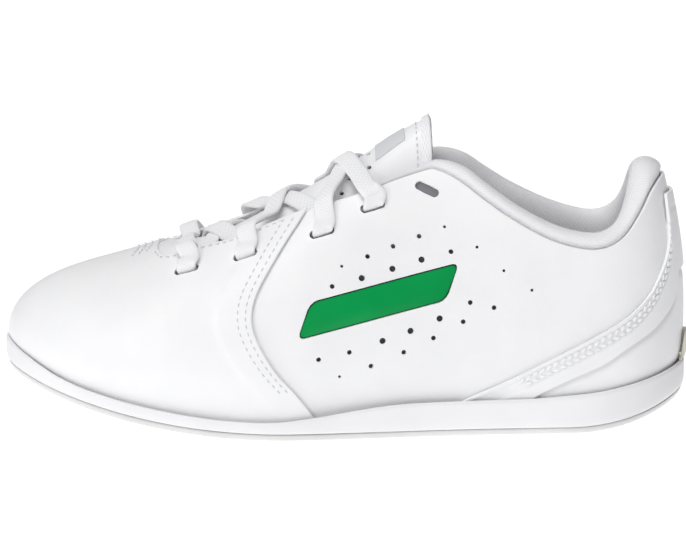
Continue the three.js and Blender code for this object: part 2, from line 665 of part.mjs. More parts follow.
const midsoleFoot = (x) => outsoleTop(x) + GAP;
const WALL_FOOT = 0.1; // inner face of the cup's wall at the footbed, from the foot line
pieces.midsole = soleSolid(
  [
    [WALL_FOOT, 0, footbed], [WALL_FOOT, 0.6, footbed], [WALL_FOOT, 1, footbed],
    [SOLE_LIP - LIP_THICKNESS + 0.4, 1, rim], [SOLE_LIP - 0.35, 1, rim], [SOLE_LIP, 1, (x) => rim(x) - 1.6],
  ],
  [[SOLE_LIP - 0.5, 0, midsoleFoot], [SOLE_LIP - 0.5, 0.6, midsoleFoot], [SOLE_LIP - 0.5, 1, midsoleFoot]],
);

const LAST_INSET = INSIDE[0] - TUCK - 0.6; // edge of what lies inside the upper
const boardFoot = (x) => footbed(x) + GAP;
const boardTop = (x) => boardFoot(x) + BOARD;
pieces.strobel_board = plate(LAST_INSET, boardFoot, boardTop);
const linerFoot = (x) => boardTop(x) + GAP;
const linerTop = (x, share) => linerFoot(x) + SOCKLINER + 1.2 * share ** 4;
pieces.sockliner = plate(LAST_INSET - 0.3, linerFoot, linerTop);

const TAB_TOP = 30 * GZ;
const TAB_THICKNESS = 1.2;
const TAB_CLEAR = 0.9;
const tabOutline = [[REAR_X - 30, rim(LENGTH / 2) + TAB_CLEAR], [REAR_X, rim(LENGTH / 2) + TAB_CLEAR], [REAR_X, TAB_TOP], [REAR_X - 30, TAB_TOP]];
pieces.heel_tab = layer(-1, 1, HEEL_OVERLAY[1] + GAP, HEEL_OVERLAY[1] + GAP + TAB_THICKNESS).intersect(sidePrism(tabOutline));

// ---- Collar ---------------------------------------------------------------------------------

// Columns from the collar's front on one side, round the heel, to its front on the other.
function columnAt(x, side) {
  let low = 0;
  let high = 0.3;
  for (let i = 0; i < 40; i++) {
    const s = (low + high) / 2;
    const place = side === OUTER ? s : 1 - s;
    if (designPoint(place, topShare(place)).x > x) low = s;
    else high = s;
  }
  return side === OUTER ? low : -low;
}
const COLLAR_X = 36 * GX;
const collarFront = [columnAt(COLLAR_X, INNER), columnAt(COLLAR_X, OUTER)];
const collarColumns = [];
for (let i = Math.ceil(collarFront[0] * AROUND + 0.3); i < collarFront[1] * AROUND - 0.3; i++) collarColumns.push(i / AROUND);

// A section point is [distance from the design surface, height above the leather's edge].
function collarPoint(s, [distance, height]) {
  const t = topShare(s);
  if (height <= 0) return upperPoint(s, shareDown(s, t, -height), distance);
  const p = upperPoint(s, t, 0);
  const out = designNormal(s, t - 0.01);
  const up = p.clone().sub(upperPoint(s, t - 0.03, 0)).normalize();
  return p.addScaledVector(out, distance).addScaledVector(up, height);
}
function collarSolid(outline, fronts) {
  const columnsUsed = [fronts[0], ...collarColumns, fronts[1]];
  const made = new Surface();
  const rows = columnsUsed.map((s) => [...outline, outline[0]].map((q) => collarPoint(s, q)));
  made.rows(rows);
  const flat = outline.map(([a, b]) => new THREE.Vector2(a, b));
  for (const [a, b, c] of THREE.ShapeUtils.triangulateShape(flat, [])) {
    const first = rows[0];
    const last = rows[rows.length - 1];
    made.triangle(first[c], first[b], first[a]);
    made.triangle(last[a], last[b], last[c]);
  }
  return solidOf(made.geometry());
}
const leatherBack = -LEATHER - GAP;
const C = COLLAR_FABRIC;
const D = COLLAR_DEPTH;
const FABRIC = [
  [leatherBack, -4], [leatherBack, 0.5], [-0.8, 1.6], [-0.9, 3.6], [-2.4, 5.2], [-4.4, 5.6], [-6.4, 4.6], [-7.6, 2],
  [-7.8, -3], [-7.2, -11], [-5, -D], [INSIDE[1] - 0.3, -D], [-5 + C, -D + 1.4], [-7.2 + C, -11], [-7.8 + C, -3],
  [-7.6 + C, 1.6], [-6.1 + C * 0.5, 4], [-4.4, 5.6 - C], [-2.9, 4.6], [-0.9 - C, 3.2], [-0.8 - C, 1.9], [leatherBack - C, 0.9],
  [leatherBack - C, -4],
];
const FOAM = [
  [-3.1, -D + 3.4], [-3.1, 0], [-2.4, 1.6], [-2.6, 2.8], [-3.4, 3.6], [-4.4, 4], [-5.2, 3.3], [-6.1, 1.2], [-6.3, -3],
  [-5.8, -11], [-4.2, -D + 3.4],
];
pieces.collar_lining = collarSolid(FABRIC, collarFront);
pieces.collar_foam = collarSolid(FOAM, collarFront.map((s) => s - Math.sign(s) * 0.004));

// The quarters' lining ends below the padding, behind the last eyelet.
const PADDING_ZONE = [[-1, -D - 0.5], [-1, 8], [-14, 8], [-14, -D - 0.5]];
const paddingZone = collarSolid(PADDING_ZONE, [columnAt(COLLAR_X - 1, INNER), columnAt(COLLAR_X - 1, OUTER)]);
const lining = (first, last) =>
  layer(first, last, ...INSIDE)
    .subtract(liningFrontOpen)
    .subtract(aboveTopLine(LINING_MARGIN))
    .subtract(paddingZone)
    .subtract(eyeletCutters)
    .subtract(middleSeam(GAP));
pieces.lining_lateral = lining(0, QUARTER_COLUMN);
pieces.lining_medial = lining(AROUND - QUARTER_COLUMN, AROUND);

// ---- Tongue ---------------------------------------------------------------------------------

// The tongue's middle line, from its sewn base to its tip: length and height.
const tongueMiddle = heightLine(graded([[-70, 49.5], [-60, 53], [-50, 57.5], [-40, 62.5], [-18, 74], [5, 87.4], [17, 95.3], [29, 102]]));
const TONGUE_ENDS = [-68 * GX, 28.5 * GX];
const tongueWing = heightLine([[0, 7], [0.5, 8], [0.8, 7], [1, 3]]); // reach under the eyelets
const throatEdge = {
  [OUTER]: heightLine(THROAT.map(([x, outer]) => [x * GX, -outer * GY])),
  [INNER]: heightLine(THROAT.map(([x, , inner]) => [x * GX, inner * GY])),
};

// The column and share of the point that is at x and y from above.
function locateFromAbove(x, y) {
  const side = y < 0 ? OUTER : INNER;
  const place = (s) => (side === OUTER ? s : 1 - s);
  let best = { gap: Infinity };
  for (let i = 10; i < 48; i++) {
    for (let j = 12; j <= 24; j++) {
      const p = designPoint(place(i / 96), j / 24);
      const gap = Math.hypot(p.x - x, p.y - y);
      if (gap < best.gap) best = { gap, s: i / 96, t: j / 24 };
    }
  }
  let { s, t } = best;
  for (let pass = 0; pass < 24; pass++) {
    const p = designPoint(place(s), t);
    const ds = designPoint(place(s + LAST_STEP), t).sub(p).divideScalar(LAST_STEP);
    const dt = designPoint(place(s), t - LAST_STEP).sub(p).divideScalar(-LAST_STEP);
    const det = ds.x * dt.y - dt.x * ds.y;
    s += (dt.y * (x - p.x) - dt.x * (y - p.y)) / det / 1.5;
    t += (-ds.y * (x - p.x) + ds.x * (y - p.y)) / det / 1.5;
    t = Math.min(Math.max(t, 0.3), 0.995);
  }
  return { s: place(s), t };
}

// Across the tongue at u along it: 0 is the middle, EDGE_Q the throat's edge, 1 the wing's end.
const EDGE_Q = 2 / 3;
const SHOULDER_REACH = 0.58;
const SHOULDER_DROP = 0.25;
const tongueRows = new Map();
function tongueRow(u) {
  const key = Math.round(u * 1e6);
  if (tongueRows.has(key)) return tongueRows.get(key);
  const x = TONGUE_ENDS[0] + (TONGUE_ENDS[1] - TONGUE_ENDS[0]) * u;
  const inThroat = Math.min(Math.max(x, THROAT[0][0] * GX), THROAT_END * GX);
  const sideOf = (side) => {
    const { s, t } = locateFromAbove(x, throatEdge[side](inThroat));
    return [upperPoint(s, t, TONGUE_TOP), upperPoint(s, shareDown(s, t, tongueWing(u)), TONGUE_TOP)];
  };
  const [outerEdge, outerWing] = sideOf(OUTER);
  const [innerEdge, innerWing] = sideOf(INNER);
  const middle = new THREE.Vector3(x, 0, tongueMiddle(x));
  const shoulder = (edge) =>
    new THREE.Vector3((edge.x + x) / 2, edge.y * SHOULDER_REACH, middle.z + (edge.z - middle.z) * SHOULDER_DROP);
  const points = [outerWing, outerEdge, shoulder(outerEdge), middle, shoulder(innerEdge), innerEdge, innerWing];
  const row = new THREE.CatmullRomCurve3(points, false, "centripetal");
  tongueRows.set(key, row);
  return row;
}
const onTongue = (u, q) => tongueRow(u).getPoint((q + 1) / 2);
function alongTongue(u, q) {
  const step = 0.01;
  return onTongue(Math.min(u + step, 1), q).sub(onTongue(Math.max(u - step, 0), q)).normalize();
}
function tonguePoint(u, q, lift) {
  const step = 0.02;
  const across = onTongue(u, Math.min(q + step, 1)).sub(onTongue(u, Math.max(q - step, -1)));
  const out = alongTongue(u, q).cross(across).normalize();
  return onTongue(u, q).addScaledVector(out, lift);
}

const TONGUE_STEPS = [11, 12]; // along and across
const PATCH_STEPS = [3, 6];
// A sheet on the tongue, from one place along it to another, as far as q to either side.
function tongueLayer(low, high, reach, [along, across] = TONGUE_STEPS, [from, to] = [0, 1]) {
  const face = (lift) =>
    Array.from({ length: along + 1 }, (_, i) =>
      Array.from({ length: across + 1 }, (_, j) =>
        tonguePoint(from + ((to - from) * i) / along, ((2 * j) / across - 1) * reach, lift),
      ),
    );
  const top = face(high);
  const foot = face(low);
  const made = new Surface();
  made.rows(top);
  made.rows(foot, true);
  const rim = (grid) => [
    ...grid[0].slice(0, -1),
    ...grid.slice(0, -1).map((r) => r[across]),
    ...[...grid[along]].reverse().slice(0, -1),
    ...[...grid].reverse().slice(0, -1).map((r) => r[0]),
  ];
  const [upperRim, lowerRim] = [rim(top), rim(foot)];
  upperRim.forEach((a, k) => {
    const n = (k + 1) % upperRim.length;
    made.quad(upperRim[n], a, lowerRim[k], lowerRim[n]);
  });
  return solidOf(made.geometry());
}
const foamTop = -TONGUE_FACE - GAP;
const tongueLiningTop = foamTop - TONGUE_FOAM - GAP;
pieces.tongue_shell = tongueLayer(-TONGUE_FACE, 0, 1);
pieces.tongue_foam = tongueLayer(foamTop - TONGUE_FOAM, foamTop, 0.94);
pieces.tongue_lining = tongueLayer(tongueLiningTop - TONGUE_LINING, tongueLiningTop, 1);
pieces.tongue_patch = tongueLayer(GAP, GAP + PATCH_THICKNESS, PATCH_REACH, PATCH_STEPS, PATCH_SPAN);

// ---- Lace -----------------------------------------------------------------------------------

const HALF_LACE = LACE_THICKNESS / 2;
const LACE_OUT = 0.6 + HALF_LACE; // lace's middle above the leather
const LACE_ON_TONGUE = LACE_ROOM + HALF_LACE;
const LACE_OVER = LACE_ON_TONGUE + LACE_THICKNESS + 0.5; // where it crosses another strand
const laced = EYELETS.slice(0, 4).map(([x, z], k) => ({
  u: (x * GX - TONGUE_ENDS[0]) / (TONGUE_ENDS[1] - TONGUE_ENDS[0]),
  sides: { [OUTER]: locate(x * GX, z * GZ, OUTER), [INNER]: locate(x * GX, z * GZ, INNER) },
  face: k < 2 ? VAMP[1] : QUARTER[1],
}));

// A waypoint of the lace: where its middle runs, and the way that its width lies.
const waypoint = (place, width) => ({ place, width });
function byHole(k, side, toEdge, distance) {
  const { s, t } = laced[k].sides[side];
  const share = toEdge >= 0 ? t + (t - shareDown(s, t, toEdge)) : shareDown(s, t, -toEdge);
  return waypoint(upperPoint(s, share, distance), alongSurface(s, share, EYELETS[k][2]));
}
function throughHole(k, side, inward, runsDown) {
  const face = laced[k].face;
  const middle = (face + INSIDE[0]) / 2;
  const away = runsDown ? -1 : 1;
  const outside = [byHole(k, side, 4, face + LACE_OUT), byHole(k, side, 1.5, face + LACE_OUT), byHole(k, side, 0.3, face + 0.5)];
  const inside = [
    byHole(k, side, 0.3 * away, INSIDE[0] - 0.6),
    byHole(k, side, 1.5 * away, LACE_INSIDE),
    byHole(k, side, 4 * away, LACE_INSIDE),
  ];
  const run = [...outside, byHole(k, side, 0, middle), ...inside];
  return inward ? run : run.reverse();
}
function overEdge(k, side, shift) {
  const { u, face } = laced[k];
  const x = TONGUE_ENDS[0] + (TONGUE_ENDS[1] - TONGUE_ENDS[0]) * (u + shift);
  const { s, t } = locateFromAbove(x, throatEdge[side](x) + 0.5 * side);
  return waypoint(upperPoint(s, t, face + LACE_OUT + 1.3), alongTongue(u, EDGE_Q * side));
}
const onTongueAt = (u, q, lift) => waypoint(tonguePoint(u, q, lift), alongTongue(u, q));

// From hole a on one side to hole b on the other. Over or under says how it passes each edge.
function crossing(a, b, side, overFirst, overLast, liftMiddle) {
  const [from, to] = [laced[a].u, laced[b].u];
  const at = (f) => from + (to - from) * f;
  const first = overFirst ? overEdge(a, side, (to - from) * 0.06) : onTongueAt(at(0.08), 0.69 * side, LACE_ON_TONGUE + 0.1);
  const last = overLast ? overEdge(b, -side, (from - to) * 0.06) : onTongueAt(at(0.92), -0.69 * side, LACE_ON_TONGUE + 0.1);
  return [
    first,
    onTongueAt(at(0.28), 0.4 * side, overFirst ? LACE_OVER + 0.9 : LACE_ON_TONGUE + 0.4),
    onTongueAt(at(0.5), 0, liftMiddle),
    onTongueAt(at(0.72), -0.4 * side, overLast ? LACE_OVER + 0.9 : LACE_ON_TONGUE + 0.4),
    last,
  ];
}
function halfLace(side, lift) {
  return [
    onTongueAt(laced[0].u, 0.4 * side, LACE_OVER + 1),
    overEdge(0, side, 0),
    ...throughHole(0, side, true, false),
    ...crossing(0, 1, side, false, false, lift),
    ...throughHole(1, -side, false, false),
    ...crossing(1, 2, -side, true, false, lift),
    ...throughHole(2, side, false, false),
    ...crossing(2, 3, side, true, true, lift),
    ...throughHole(3, -side, true, true),
    byHole(3, -side, -10, LACE_INSIDE),
  ];
}
const laceRoute = [
  ...halfLace(OUTER, LACE_ON_TONGUE).reverse(),
  onTongueAt(laced[0].u, 0, LACE_OVER + 0.6),
  ...halfLace(INNER, LACE_OVER),
];

// A flat band along waypoints.
function band(route, width, thickness, stepsEach) {
  const curve = new THREE.CatmullRomCurve3(route.map((w) => w.place), false, "centripetal");
  const count = (route.length - 1) * stepsEach;
  const rings = [];
  for (let i = 0; i <= count; i++) {
    const at = i / count;
    const place = curve.getPoint(at);
    const tangent = curve.getTangent(at);
    const spot = at * (route.length - 1);
    const k = Math.min(Math.floor(spot), route.length - 2);
    const wide = route[k].width.clone().lerp(route[k + 1].width, spot - k);
    wide.addScaledVector(tangent, -wide.dot(tangent)).normalize();
    const thick = tangent.clone().cross(wide);
    const corner = (a, b) => place.clone().addScaledVector(wide, (a * width) / 2).addScaledVector(thick, (b * thickness) / 2);
    const ring = [corner(-1, -1), corner(1, -1), corner(1, 1), corner(-1, 1)];
    rings.push([...ring, ring[0]]);
  }
  const made = new Surface();
  made.rows(rings);
  const [first, last] = [rings[0], rings[rings.length - 1]];
  made.quad(first[3], first[2], first[1], first[0]);
  made.quad(last[0], last[1], last[2], last[3]);
  return solidOf(made.geometry());
}
// The loose ends, tucked into the shoe: down the wall from the last eyelets and back along the
// sockliner. Points in millimetres; the last number turns the band from the wall to the floor.
const TAILS = {
  lateral: {
    side: OUTER,
    points: [
      [5.6, -23.1, 63.6, 0], [4.9, -23.8, 61.4, 0], [3.2, -25.2, 54, 0], [3.2, -26.9, 45, 0], [8.2, -27.6, 36.4, 0],
      [17, -27.4, 29.6, 0.1], [28, -26, 24.4, 0.25], [40, -23.4, 20.6, 0.5], [51, -20.4, 17.8, 0.75],
      [61, -17.4, 16.5, 1], [70, -14.8, 16.9, 1], [76, -13.3, 17.3, 1],
    ],
  },
  medial: {
    side: INNER,
    points: [
      [5.4, 18.9, 63.7, 0], [4.7, 19.3, 61.5, 0], [3, 20, 54, 0], [3, 20.9, 45, 0], [7.8, 21.2, 36.4, 0],
      [16.5, 20.8, 29.6, 0.1], [27, 19.4, 24.4, 0.25], [38.5, 17, 20.6, 0.5], [49.5, 14, 17.6, 0.75],
      [59.5, 11, 16, 1], [68.5, 8.6, 16.2, 1], [74.5, 7.2, 16.5, 1],
    ],
  },
};
for (const [name, { side, points }] of Object.entries(TAILS)) {
  const places = points.map(([x, y, z]) => new THREE.Vector3(x, y, z));
  const curve = new THREE.CatmullRomCurve3(places, false, "centripetal");
  const route = places.map((place, i) => {
    const turn = (points[i][3] * Math.PI) / 2;
    const back = new THREE.Vector3(0, side * Math.cos(turn), -Math.sin(turn));
    return waypoint(place, curve.getTangent(i / (places.length - 1)).cross(back));
  });
  pieces[`lace_tail_${name}`] = band(route, LACE_WIDTH, LACE_THICKNESS, 2);
  const end = places[places.length - 1];
  const heading = curve.getTangent(1).setZ(0).normalize();
  const aglet = new THREE.CylinderGeometry(AGLET_DIAMETER / 2, AGLET_DIAMETER / 2, AGLET_LENGTH, 10);
  aglet.applyQuaternion(new THREE.Quaternion().setFromUnitVectors(new THREE.Vector3(0, 1, 0), heading));
  const middle = end.clone().addScaledVector(heading, GAP + AGLET_LENGTH / 2);
  middle.z += (AGLET_DIAMETER - LACE_THICKNESS) / 2;
  aglet.translate(...middle.toArray());
  pieces[`aglet_${name}`] = solidOf(aglet);
}
pieces.shoelace = band(laceRoute, LACE_WIDTH, LACE_THICKNESS, 2);

// ---- Model ----------------------------------------------------------------------------------

const FINISHES = {
  leather: [0xf4f4f6, 0.42],
  gloss: [0x008f47, 0.18],
  patch: [0xb9bcc2, 0.5],
  knit: [0xeceaf2, 0.9],
  lining: [0xf0f0f0, 0.85],
  foam: [0xe9e4d8, 0.95],
  board: [0xd8d2c6, 0.9],
  stiffener: [0xdedede, 0.7],
  rubber: [0xeceaed, 0.5],
  lace: [0xfafafa, 0.85],
  tip: [0xf2f4f6, 0.2],
};
const FINISH_OF = {
  outsole: "rubber", midsole: "rubber", heel_tab: "rubber", strobel_board: "board", sockliner: "foam",
  toe_puff: "stiffener", heel_counter: "stiffener", eyestay_lateral: "stiffener", eyestay_medial: "stiffener",
  bar_backing: "stiffener", colour_bar: "gloss", vamp_lining: "lining", lining_lateral: "lining",
  lining_medial: "lining", tongue_lining: "lining", collar_lining: "knit", collar_foam: "foam",
  tongue_foam: "foam", tongue_patch: "patch", shoelace: "lace", lace_tail_lateral: "lace",
  lace_tail_medial: "lace", aglet_lateral: "tip", aglet_medial: "tip",
};

const model = new THREE.Group();
for (const [name, solid] of Object.entries(pieces)) {
  const [color, roughness] = FINISHES[FINISH_OF[name] ?? "leather"];
  const mesh = new THREE.Mesh(geometryOf(solid), new THREE.MeshStandardMaterial({ color, roughness, metalness: 0 }));
  mesh.name = name;
  model.add(mesh);
}
const bounds = new THREE.Box3().setFromObject(model);
const middle = bounds.getCenter(new THREE.Vector3());
model.position.set(-middle.x, -middle.y, -bounds.min.z);

export default model;
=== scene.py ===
"""The looks of a child's low-cut cheer shoe: stitched white leather, padded knit collar and tongue,
flat lace, cupped sole and a glossy colour bar. It is drawn in millimetres on the shoe's own pattern."""
import math

import bmesh
import bpy
from mathutils import Matrix, Vector


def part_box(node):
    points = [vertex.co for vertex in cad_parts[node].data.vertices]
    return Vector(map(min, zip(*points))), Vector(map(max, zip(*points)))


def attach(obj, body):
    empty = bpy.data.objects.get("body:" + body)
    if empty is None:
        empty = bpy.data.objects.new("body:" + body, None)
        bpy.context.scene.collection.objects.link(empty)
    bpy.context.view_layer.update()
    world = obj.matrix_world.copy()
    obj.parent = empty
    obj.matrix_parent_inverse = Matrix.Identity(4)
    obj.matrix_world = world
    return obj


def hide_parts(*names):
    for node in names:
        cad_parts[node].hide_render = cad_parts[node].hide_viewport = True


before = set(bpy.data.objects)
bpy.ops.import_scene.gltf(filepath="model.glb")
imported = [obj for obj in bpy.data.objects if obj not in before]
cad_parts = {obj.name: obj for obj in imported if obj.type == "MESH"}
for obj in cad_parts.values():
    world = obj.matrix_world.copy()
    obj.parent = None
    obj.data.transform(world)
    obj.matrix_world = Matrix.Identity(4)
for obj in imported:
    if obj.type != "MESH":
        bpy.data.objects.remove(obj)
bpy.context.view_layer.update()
MM = 0.001

# ---- Camera: a long lens a little above the side of the shoe -----------------------------------

VIEW_WIDTH = 228.67  # mm across the picture at the shoe
VIEW_CENTRE = Vector((-1.25, 0, 48.2))
VIEW_ELEVATION = math.radians(10)
LENS = 200
SENSOR = 36


def add_camera():
    distance = VIEW_WIDTH * LENS / SENSOR
    back = Vector((0, -math.cos(VIEW_ELEVATION), math.sin(VIEW_ELEVATION)))
    camera = bpy.data.objects.new("camera", bpy.data.cameras.new("camera"))
    camera.data.lens = LENS
    camera.data.sensor_width = SENSOR
    camera.location = (VIEW_CENTRE + distance * back) * MM
    camera.rotation_euler = (math.pi / 2 - VIEW_ELEVATION, 0, 0)
    bpy.context.scene.collection.objects.link(camera)
    bpy.context.scene.camera = camera


add_camera()

# ---- Sizes that the solids have too --------------------------------------------------------------

LEATHER = 1.4
OVERLAY = 1.2
GAP = 0.3
OUTSOLE = 2.2
SOLE_LIP = 2.6
FOOTBED_SHARE = 0.66
TUCK = 2.4
COLLAR_DEPTH = 20
VAMP_FACE = 1.6  # outside of the vamp above the design surface
BAND_FACE = 1.5
INSIDE = (-3.8, -2.9)
LACE_WIDTH = 6.5
LACE_THICKNESS = 1.2
LACE_ROOM = 0.8
LACE_INSIDE = INSIDE[0] - LACE_ROOM - LACE_THICKNESS / 2
TONGUE_TOP = LACE_INSIDE - LACE_ROOM - LACE_THICKNESS / 2
EYELET_LENGTH = 8.4
EYELET_WIDTH = 3.2
BAR_LENGTH = 50
BAR_HEIGHT = 11
BAR_CORNER = 2.4
BAR_PLAY = 0.4
BAR_RECESS = 0.5
OUTER = -1
INNER = 1
SIDES = (("lateral", OUTER), ("medial", INNER))

# ---- Curves -------------------------------------------------------------------------------------


def clamp(value, low=0.0, high=1.0):
    return min(max(value, low), high)


def mix(a, b, share):
    return a + (b - a) * share


def smooth_step(value):
    x = clamp(value)
    return x * x * (3 - 2 * x)


def halve(beyond, low, high, rounds):
    """Halves a range again and again; beyond(place) stays true at its high end."""
    for _ in range(rounds):
        middle = (low + high) / 2
        if beyond(middle):
            high = middle
        else:
            low = middle
    return low, high


def closed_spline(rows):
    """The uniform cubic B-spline that passes through rows of numbers and closes on itself."""
    count = len(rows)
    width = range(len(rows[0]))
    control = [list(row) for row in rows]
    for _ in range(60):
        for i in range(count):
            before, after = control[i - 1], control[(i + 1) % count]
            control[i] = [(6 * rows[i][k] - before[k] - after[k]) / 4 for k in width]

    def at(u):
        x = (u - math.floor(u)) * count
        i = min(int(x), count - 1)
        f = x - i
        weights = ((1 - f) ** 3, 3 * f**3 - 6 * f**2 + 4, -3 * f**3 + 3 * f**2 + 3 * f + 1, f**3)
        near = [control[(i - 1 + k) % count] for k in range(4)]
        return [sum(w * c[k] for w, c in zip(weights, near)) / 6 for k in width]

    return at


def height_line(pairs):
    """A smooth height over position through (position, height) pairs."""
    last = len(pairs) - 1

    def slope(k):
        a, b = pairs[max(k - 1, 0)], pairs[min(k + 1, last)]
        return (b[1] - a[1]) / (b[0] - a[0])

    def at(x):
        if x <= pairs[0][0]:
            return pairs[0][1] + slope(0) * (x - pairs[0][0])
        if x >= pairs[last][0]:
            return pairs[last][1] + slope(last) * (x - pairs[last][0])
        i = 0
        while pairs[i + 1][0] < x:
            i += 1
        h = pairs[i + 1][0] - pairs[i][0]
        t = (x - pairs[i][0]) / h
        return (
            (2 * t**3 - 3 * t * t + 1) * pairs[i][1]
            + (t**3 - 2 * t * t + t) * h * slope(i)
            + (3 * t * t - 2 * t**3) * pairs[i + 1][1]
            + (t**3 - t * t) * h * slope(i + 1)
        )

    return at


class SmoothCurve:
    """A centripetal Catmull-Rom curve through points."""

    def __init__(self, points):
        self.points = [Vector(p) for p in points]

    def at(self, u):
        points = self.points
        last = len(points) - 1
        spot = clamp(u) * last
        i = min(int(spot), last - 1)
        f = spot - i
        b, c = points[i], points[i + 1]
        a = points[i - 1] if i > 0 else 2 * points[0] - points[1]
        d = points[i + 2] if i + 2 <= last else 2 * points[last] - points[last - 1]
        steps = [math.sqrt((q - p).length) for p, q in ((a, b), (b, c), (c, d))]
        middle = steps[1] if steps[1] > 1e-4 else 1
        first, third = [s if s > 1e-4 else middle for s in (steps[0], steps[2])]
        start = ((b - a) / first - (c - a) / (first + middle) + (c - b) / middle) * middle
        stop = ((c - b) / middle - (d - b) / (middle + third) + (d - c) / third) * middle
        bend = -3 * b + 3 * c - 2 * start - stop
        return b + start * f + bend * f * f + (2 * b - 2 * c + start + stop) * f**3

    def along(self, u):
        return (self.at(u + 1e-4) - self.at(u - 1e-4)).normalized()


def evenly(points, pitch):
    """Places along a row of points, a pitch apart, each with the way that the row runs there."""
    found = []
    spare = pitch / 2
    for a, b in zip(points, points[1:]):
        length = (b[0] - a[0]).length
        while spare <= length:
            share = spare / length
            place = a[0].lerp(b[0], share)
            found.append((place, (b[0] - a[0]).normalized(), a[1].lerp(b[1], share).normalized()))
            spare += pitch
        spare -= length
    return found


# ---- Sole heights and the upper's design surface ------------------------------------------------

sidewall_height = height_line(
    [(-114, 10), (-104, 8.6), (-92, 6.9), (-77, 6.5), (-60, 6.4), (-40, 6.1), (-22, 6.3), (-9, 7.7), (6, 9.9),
     (19, 11.3), (41, 11.8), (62, 12.1), (77, 13.1), (94, 13.2), (107, 12), (114, 11)]
)


def ground(x):
    return 0.00185 * min(0, x + 15) ** 2 + 0.0065 * max(0, x - 75) ** 2


def rim(x):
    return ground(x) + sidewall_height(x)


def footbed(x):
    return ground(x) + FOOTBED_SHARE * sidewall_height(x)


# From the heel's middle to the toe's tip: outer edge x, y; inner edge x, y; top x, y, z; how much
# of the top is a ridge (1) or an ankle wall (0); how far the wall bulges near its top.
STATIONS = [
    (111.5, 0, 111.5, 0, 104.5, 0, 90, 0, 7),
    (106.7, -12.5, 106.7, 12.5, 101.2, -10, 90, 0, 6),
    (94, -22.5, 94, 21.5, 91, -17, 90, 0, 4),
    (75, -27, 75, 25, 76, -19.5, 90, 0, 2.5),
    (52, -29, 52, 25, 60, -20.5, 91, 0, 2.5),
    (27, -32, 27, 25.5, 44, -19, 95, 0.1, 2.5),
    (2, -36, 2, 29, 27, -9, 99, 0.6, 2.5),
    (-22, -39, -22, 35.5, 5, -1, 89, 1, 0),
    (-45, -39, -45, 39, -18, 0, 76.5, 1, 0),
    (-67, -35.5, -67, 38, -40, 0, 66, 1, 0),
    (-87.5, -27, -87.5, 32, -60, 0, 58.5, 1, 0),
    (-103, -13.3, -103, 21.8, -72, 0, 55, 1, 0),
    (-110.4, 5, -110.4, 5, -76, 0, 54, 1, 0),
]
ridge_slope = height_line([(-80, 0.25), (-60, 0.3), (-40, 0.4), (-18, 0.52), (5, 0.5), (27, 0.45)])
CROWN = 0.62
STEP = 1e-3
LOWEST_SHARE = 0.02  # the lowest place on a profile that is looked for

outer_side = [(ox, oy, tx, ty, tz, ridge, bulge) for ox, oy, _, _, tx, ty, tz, ridge, bulge in STATIONS]
inner_side = [(ix, iy, tx, -ty, tz, ridge, bulge) for _, _, ix, iy, tx, ty, tz, ridge, bulge in STATIONS]
around = closed_spline(outer_side + inner_side[-2:0:-1])
sections = {}


def section(s):
    """The profile at s, which runs from the heel (0) by the outer side to the toe (0.5) and back."""
    key = round((s - math.floor(s)) * 1e7)
    if key not in sections:
        fx, fy, tx, ty, tz, ridge, bulge = around(s)
        before, after = around(s - STEP), around(s + STEP)
        way = Vector((after[0] - before[0], after[1] - before[1])).normalized()
        outward = Vector((-way.y, way.x, 0))
        on_ridge = ridge > 0.97
        share = 1 if on_ridge else max(ridge, 0)
        foot = Vector((fx, fy, footbed(fx) + GAP))
        top = Vector((tx, 0 if on_ridge else ty, tz))
        rise = Vector((0, 0, top.z - foot.z))
        slope = ridge_slope(tx)
        level = Vector((foot.x - top.x, foot.y - top.y, 0)) * CROWN
        level.z = slope * level.x
        upper = top + level * share + (outward * bulge - 0.33 * rise) * (1 - share)
        lower = foot + outward * (3 + share) + (0.36 + 0.2 * share) * rise
        sections[key] = (foot, lower, upper, top, outward, on_ridge, slope)
    return sections[key]


def design_point(s, t):
    foot, lower, upper, top = section(s)[:4]
    u = 1 - t
    return foot * u**3 + lower * (3 * u * u * t) + upper * (3 * u * t * t) + top * t**3


def design_normal(s, t):
    _, _, _, _, _, on_ridge, slope = section(s)
    if on_ridge and t > 1 - 1e-6:
        return Vector((-slope, 0, 1)).normalized()
    up = design_point(s, min(t + STEP, 1)) - design_point(s, max(t - STEP, 0))
    way = design_point(s + STEP, t) - design_point(s - STEP, t)
    return up.cross(way).normalized()


def upper_point(s, t, distance):
    """A point at a distance outside the design surface. Below the rim the upper tucks in."""
    tuck = TUCK * max(0, 1 - t / 0.14) ** 2
    return design_point(s, t) + design_normal(s, t) * (distance - tuck)


def share_down(s, t, distance, steps=8):
    """The share of the profile that lies a distance below share t, along the surface."""
    share = t
    for _ in range(steps):
        rate = (design_point(s, share) - design_point(s, share - STEP)).length / STEP
        share = max(share - distance / steps / rate, LOWEST_SHARE)
    return share


# ---- Pattern lines, seen from the side and from above --------------------------------------------

top_line = height_line(
    [(-63, 66), (-60.5, 60.2), (-58.5, 58), (-55, 57), (-48, 59.2), (-37, 62.6), (-20, 69.6), (-3, 75.6),
     (9, 81), (16, 83.8), (23, 86.2), (28, 86.6), (33, 85.4), (39, 82.2), (46, 77), (57, 69.6), (69, 63.4),
     (80, 60.6), (87, 61.2), (93, 65), (98, 71.8), (102, 78.6), (106, 82.6), (112, 84)]
)
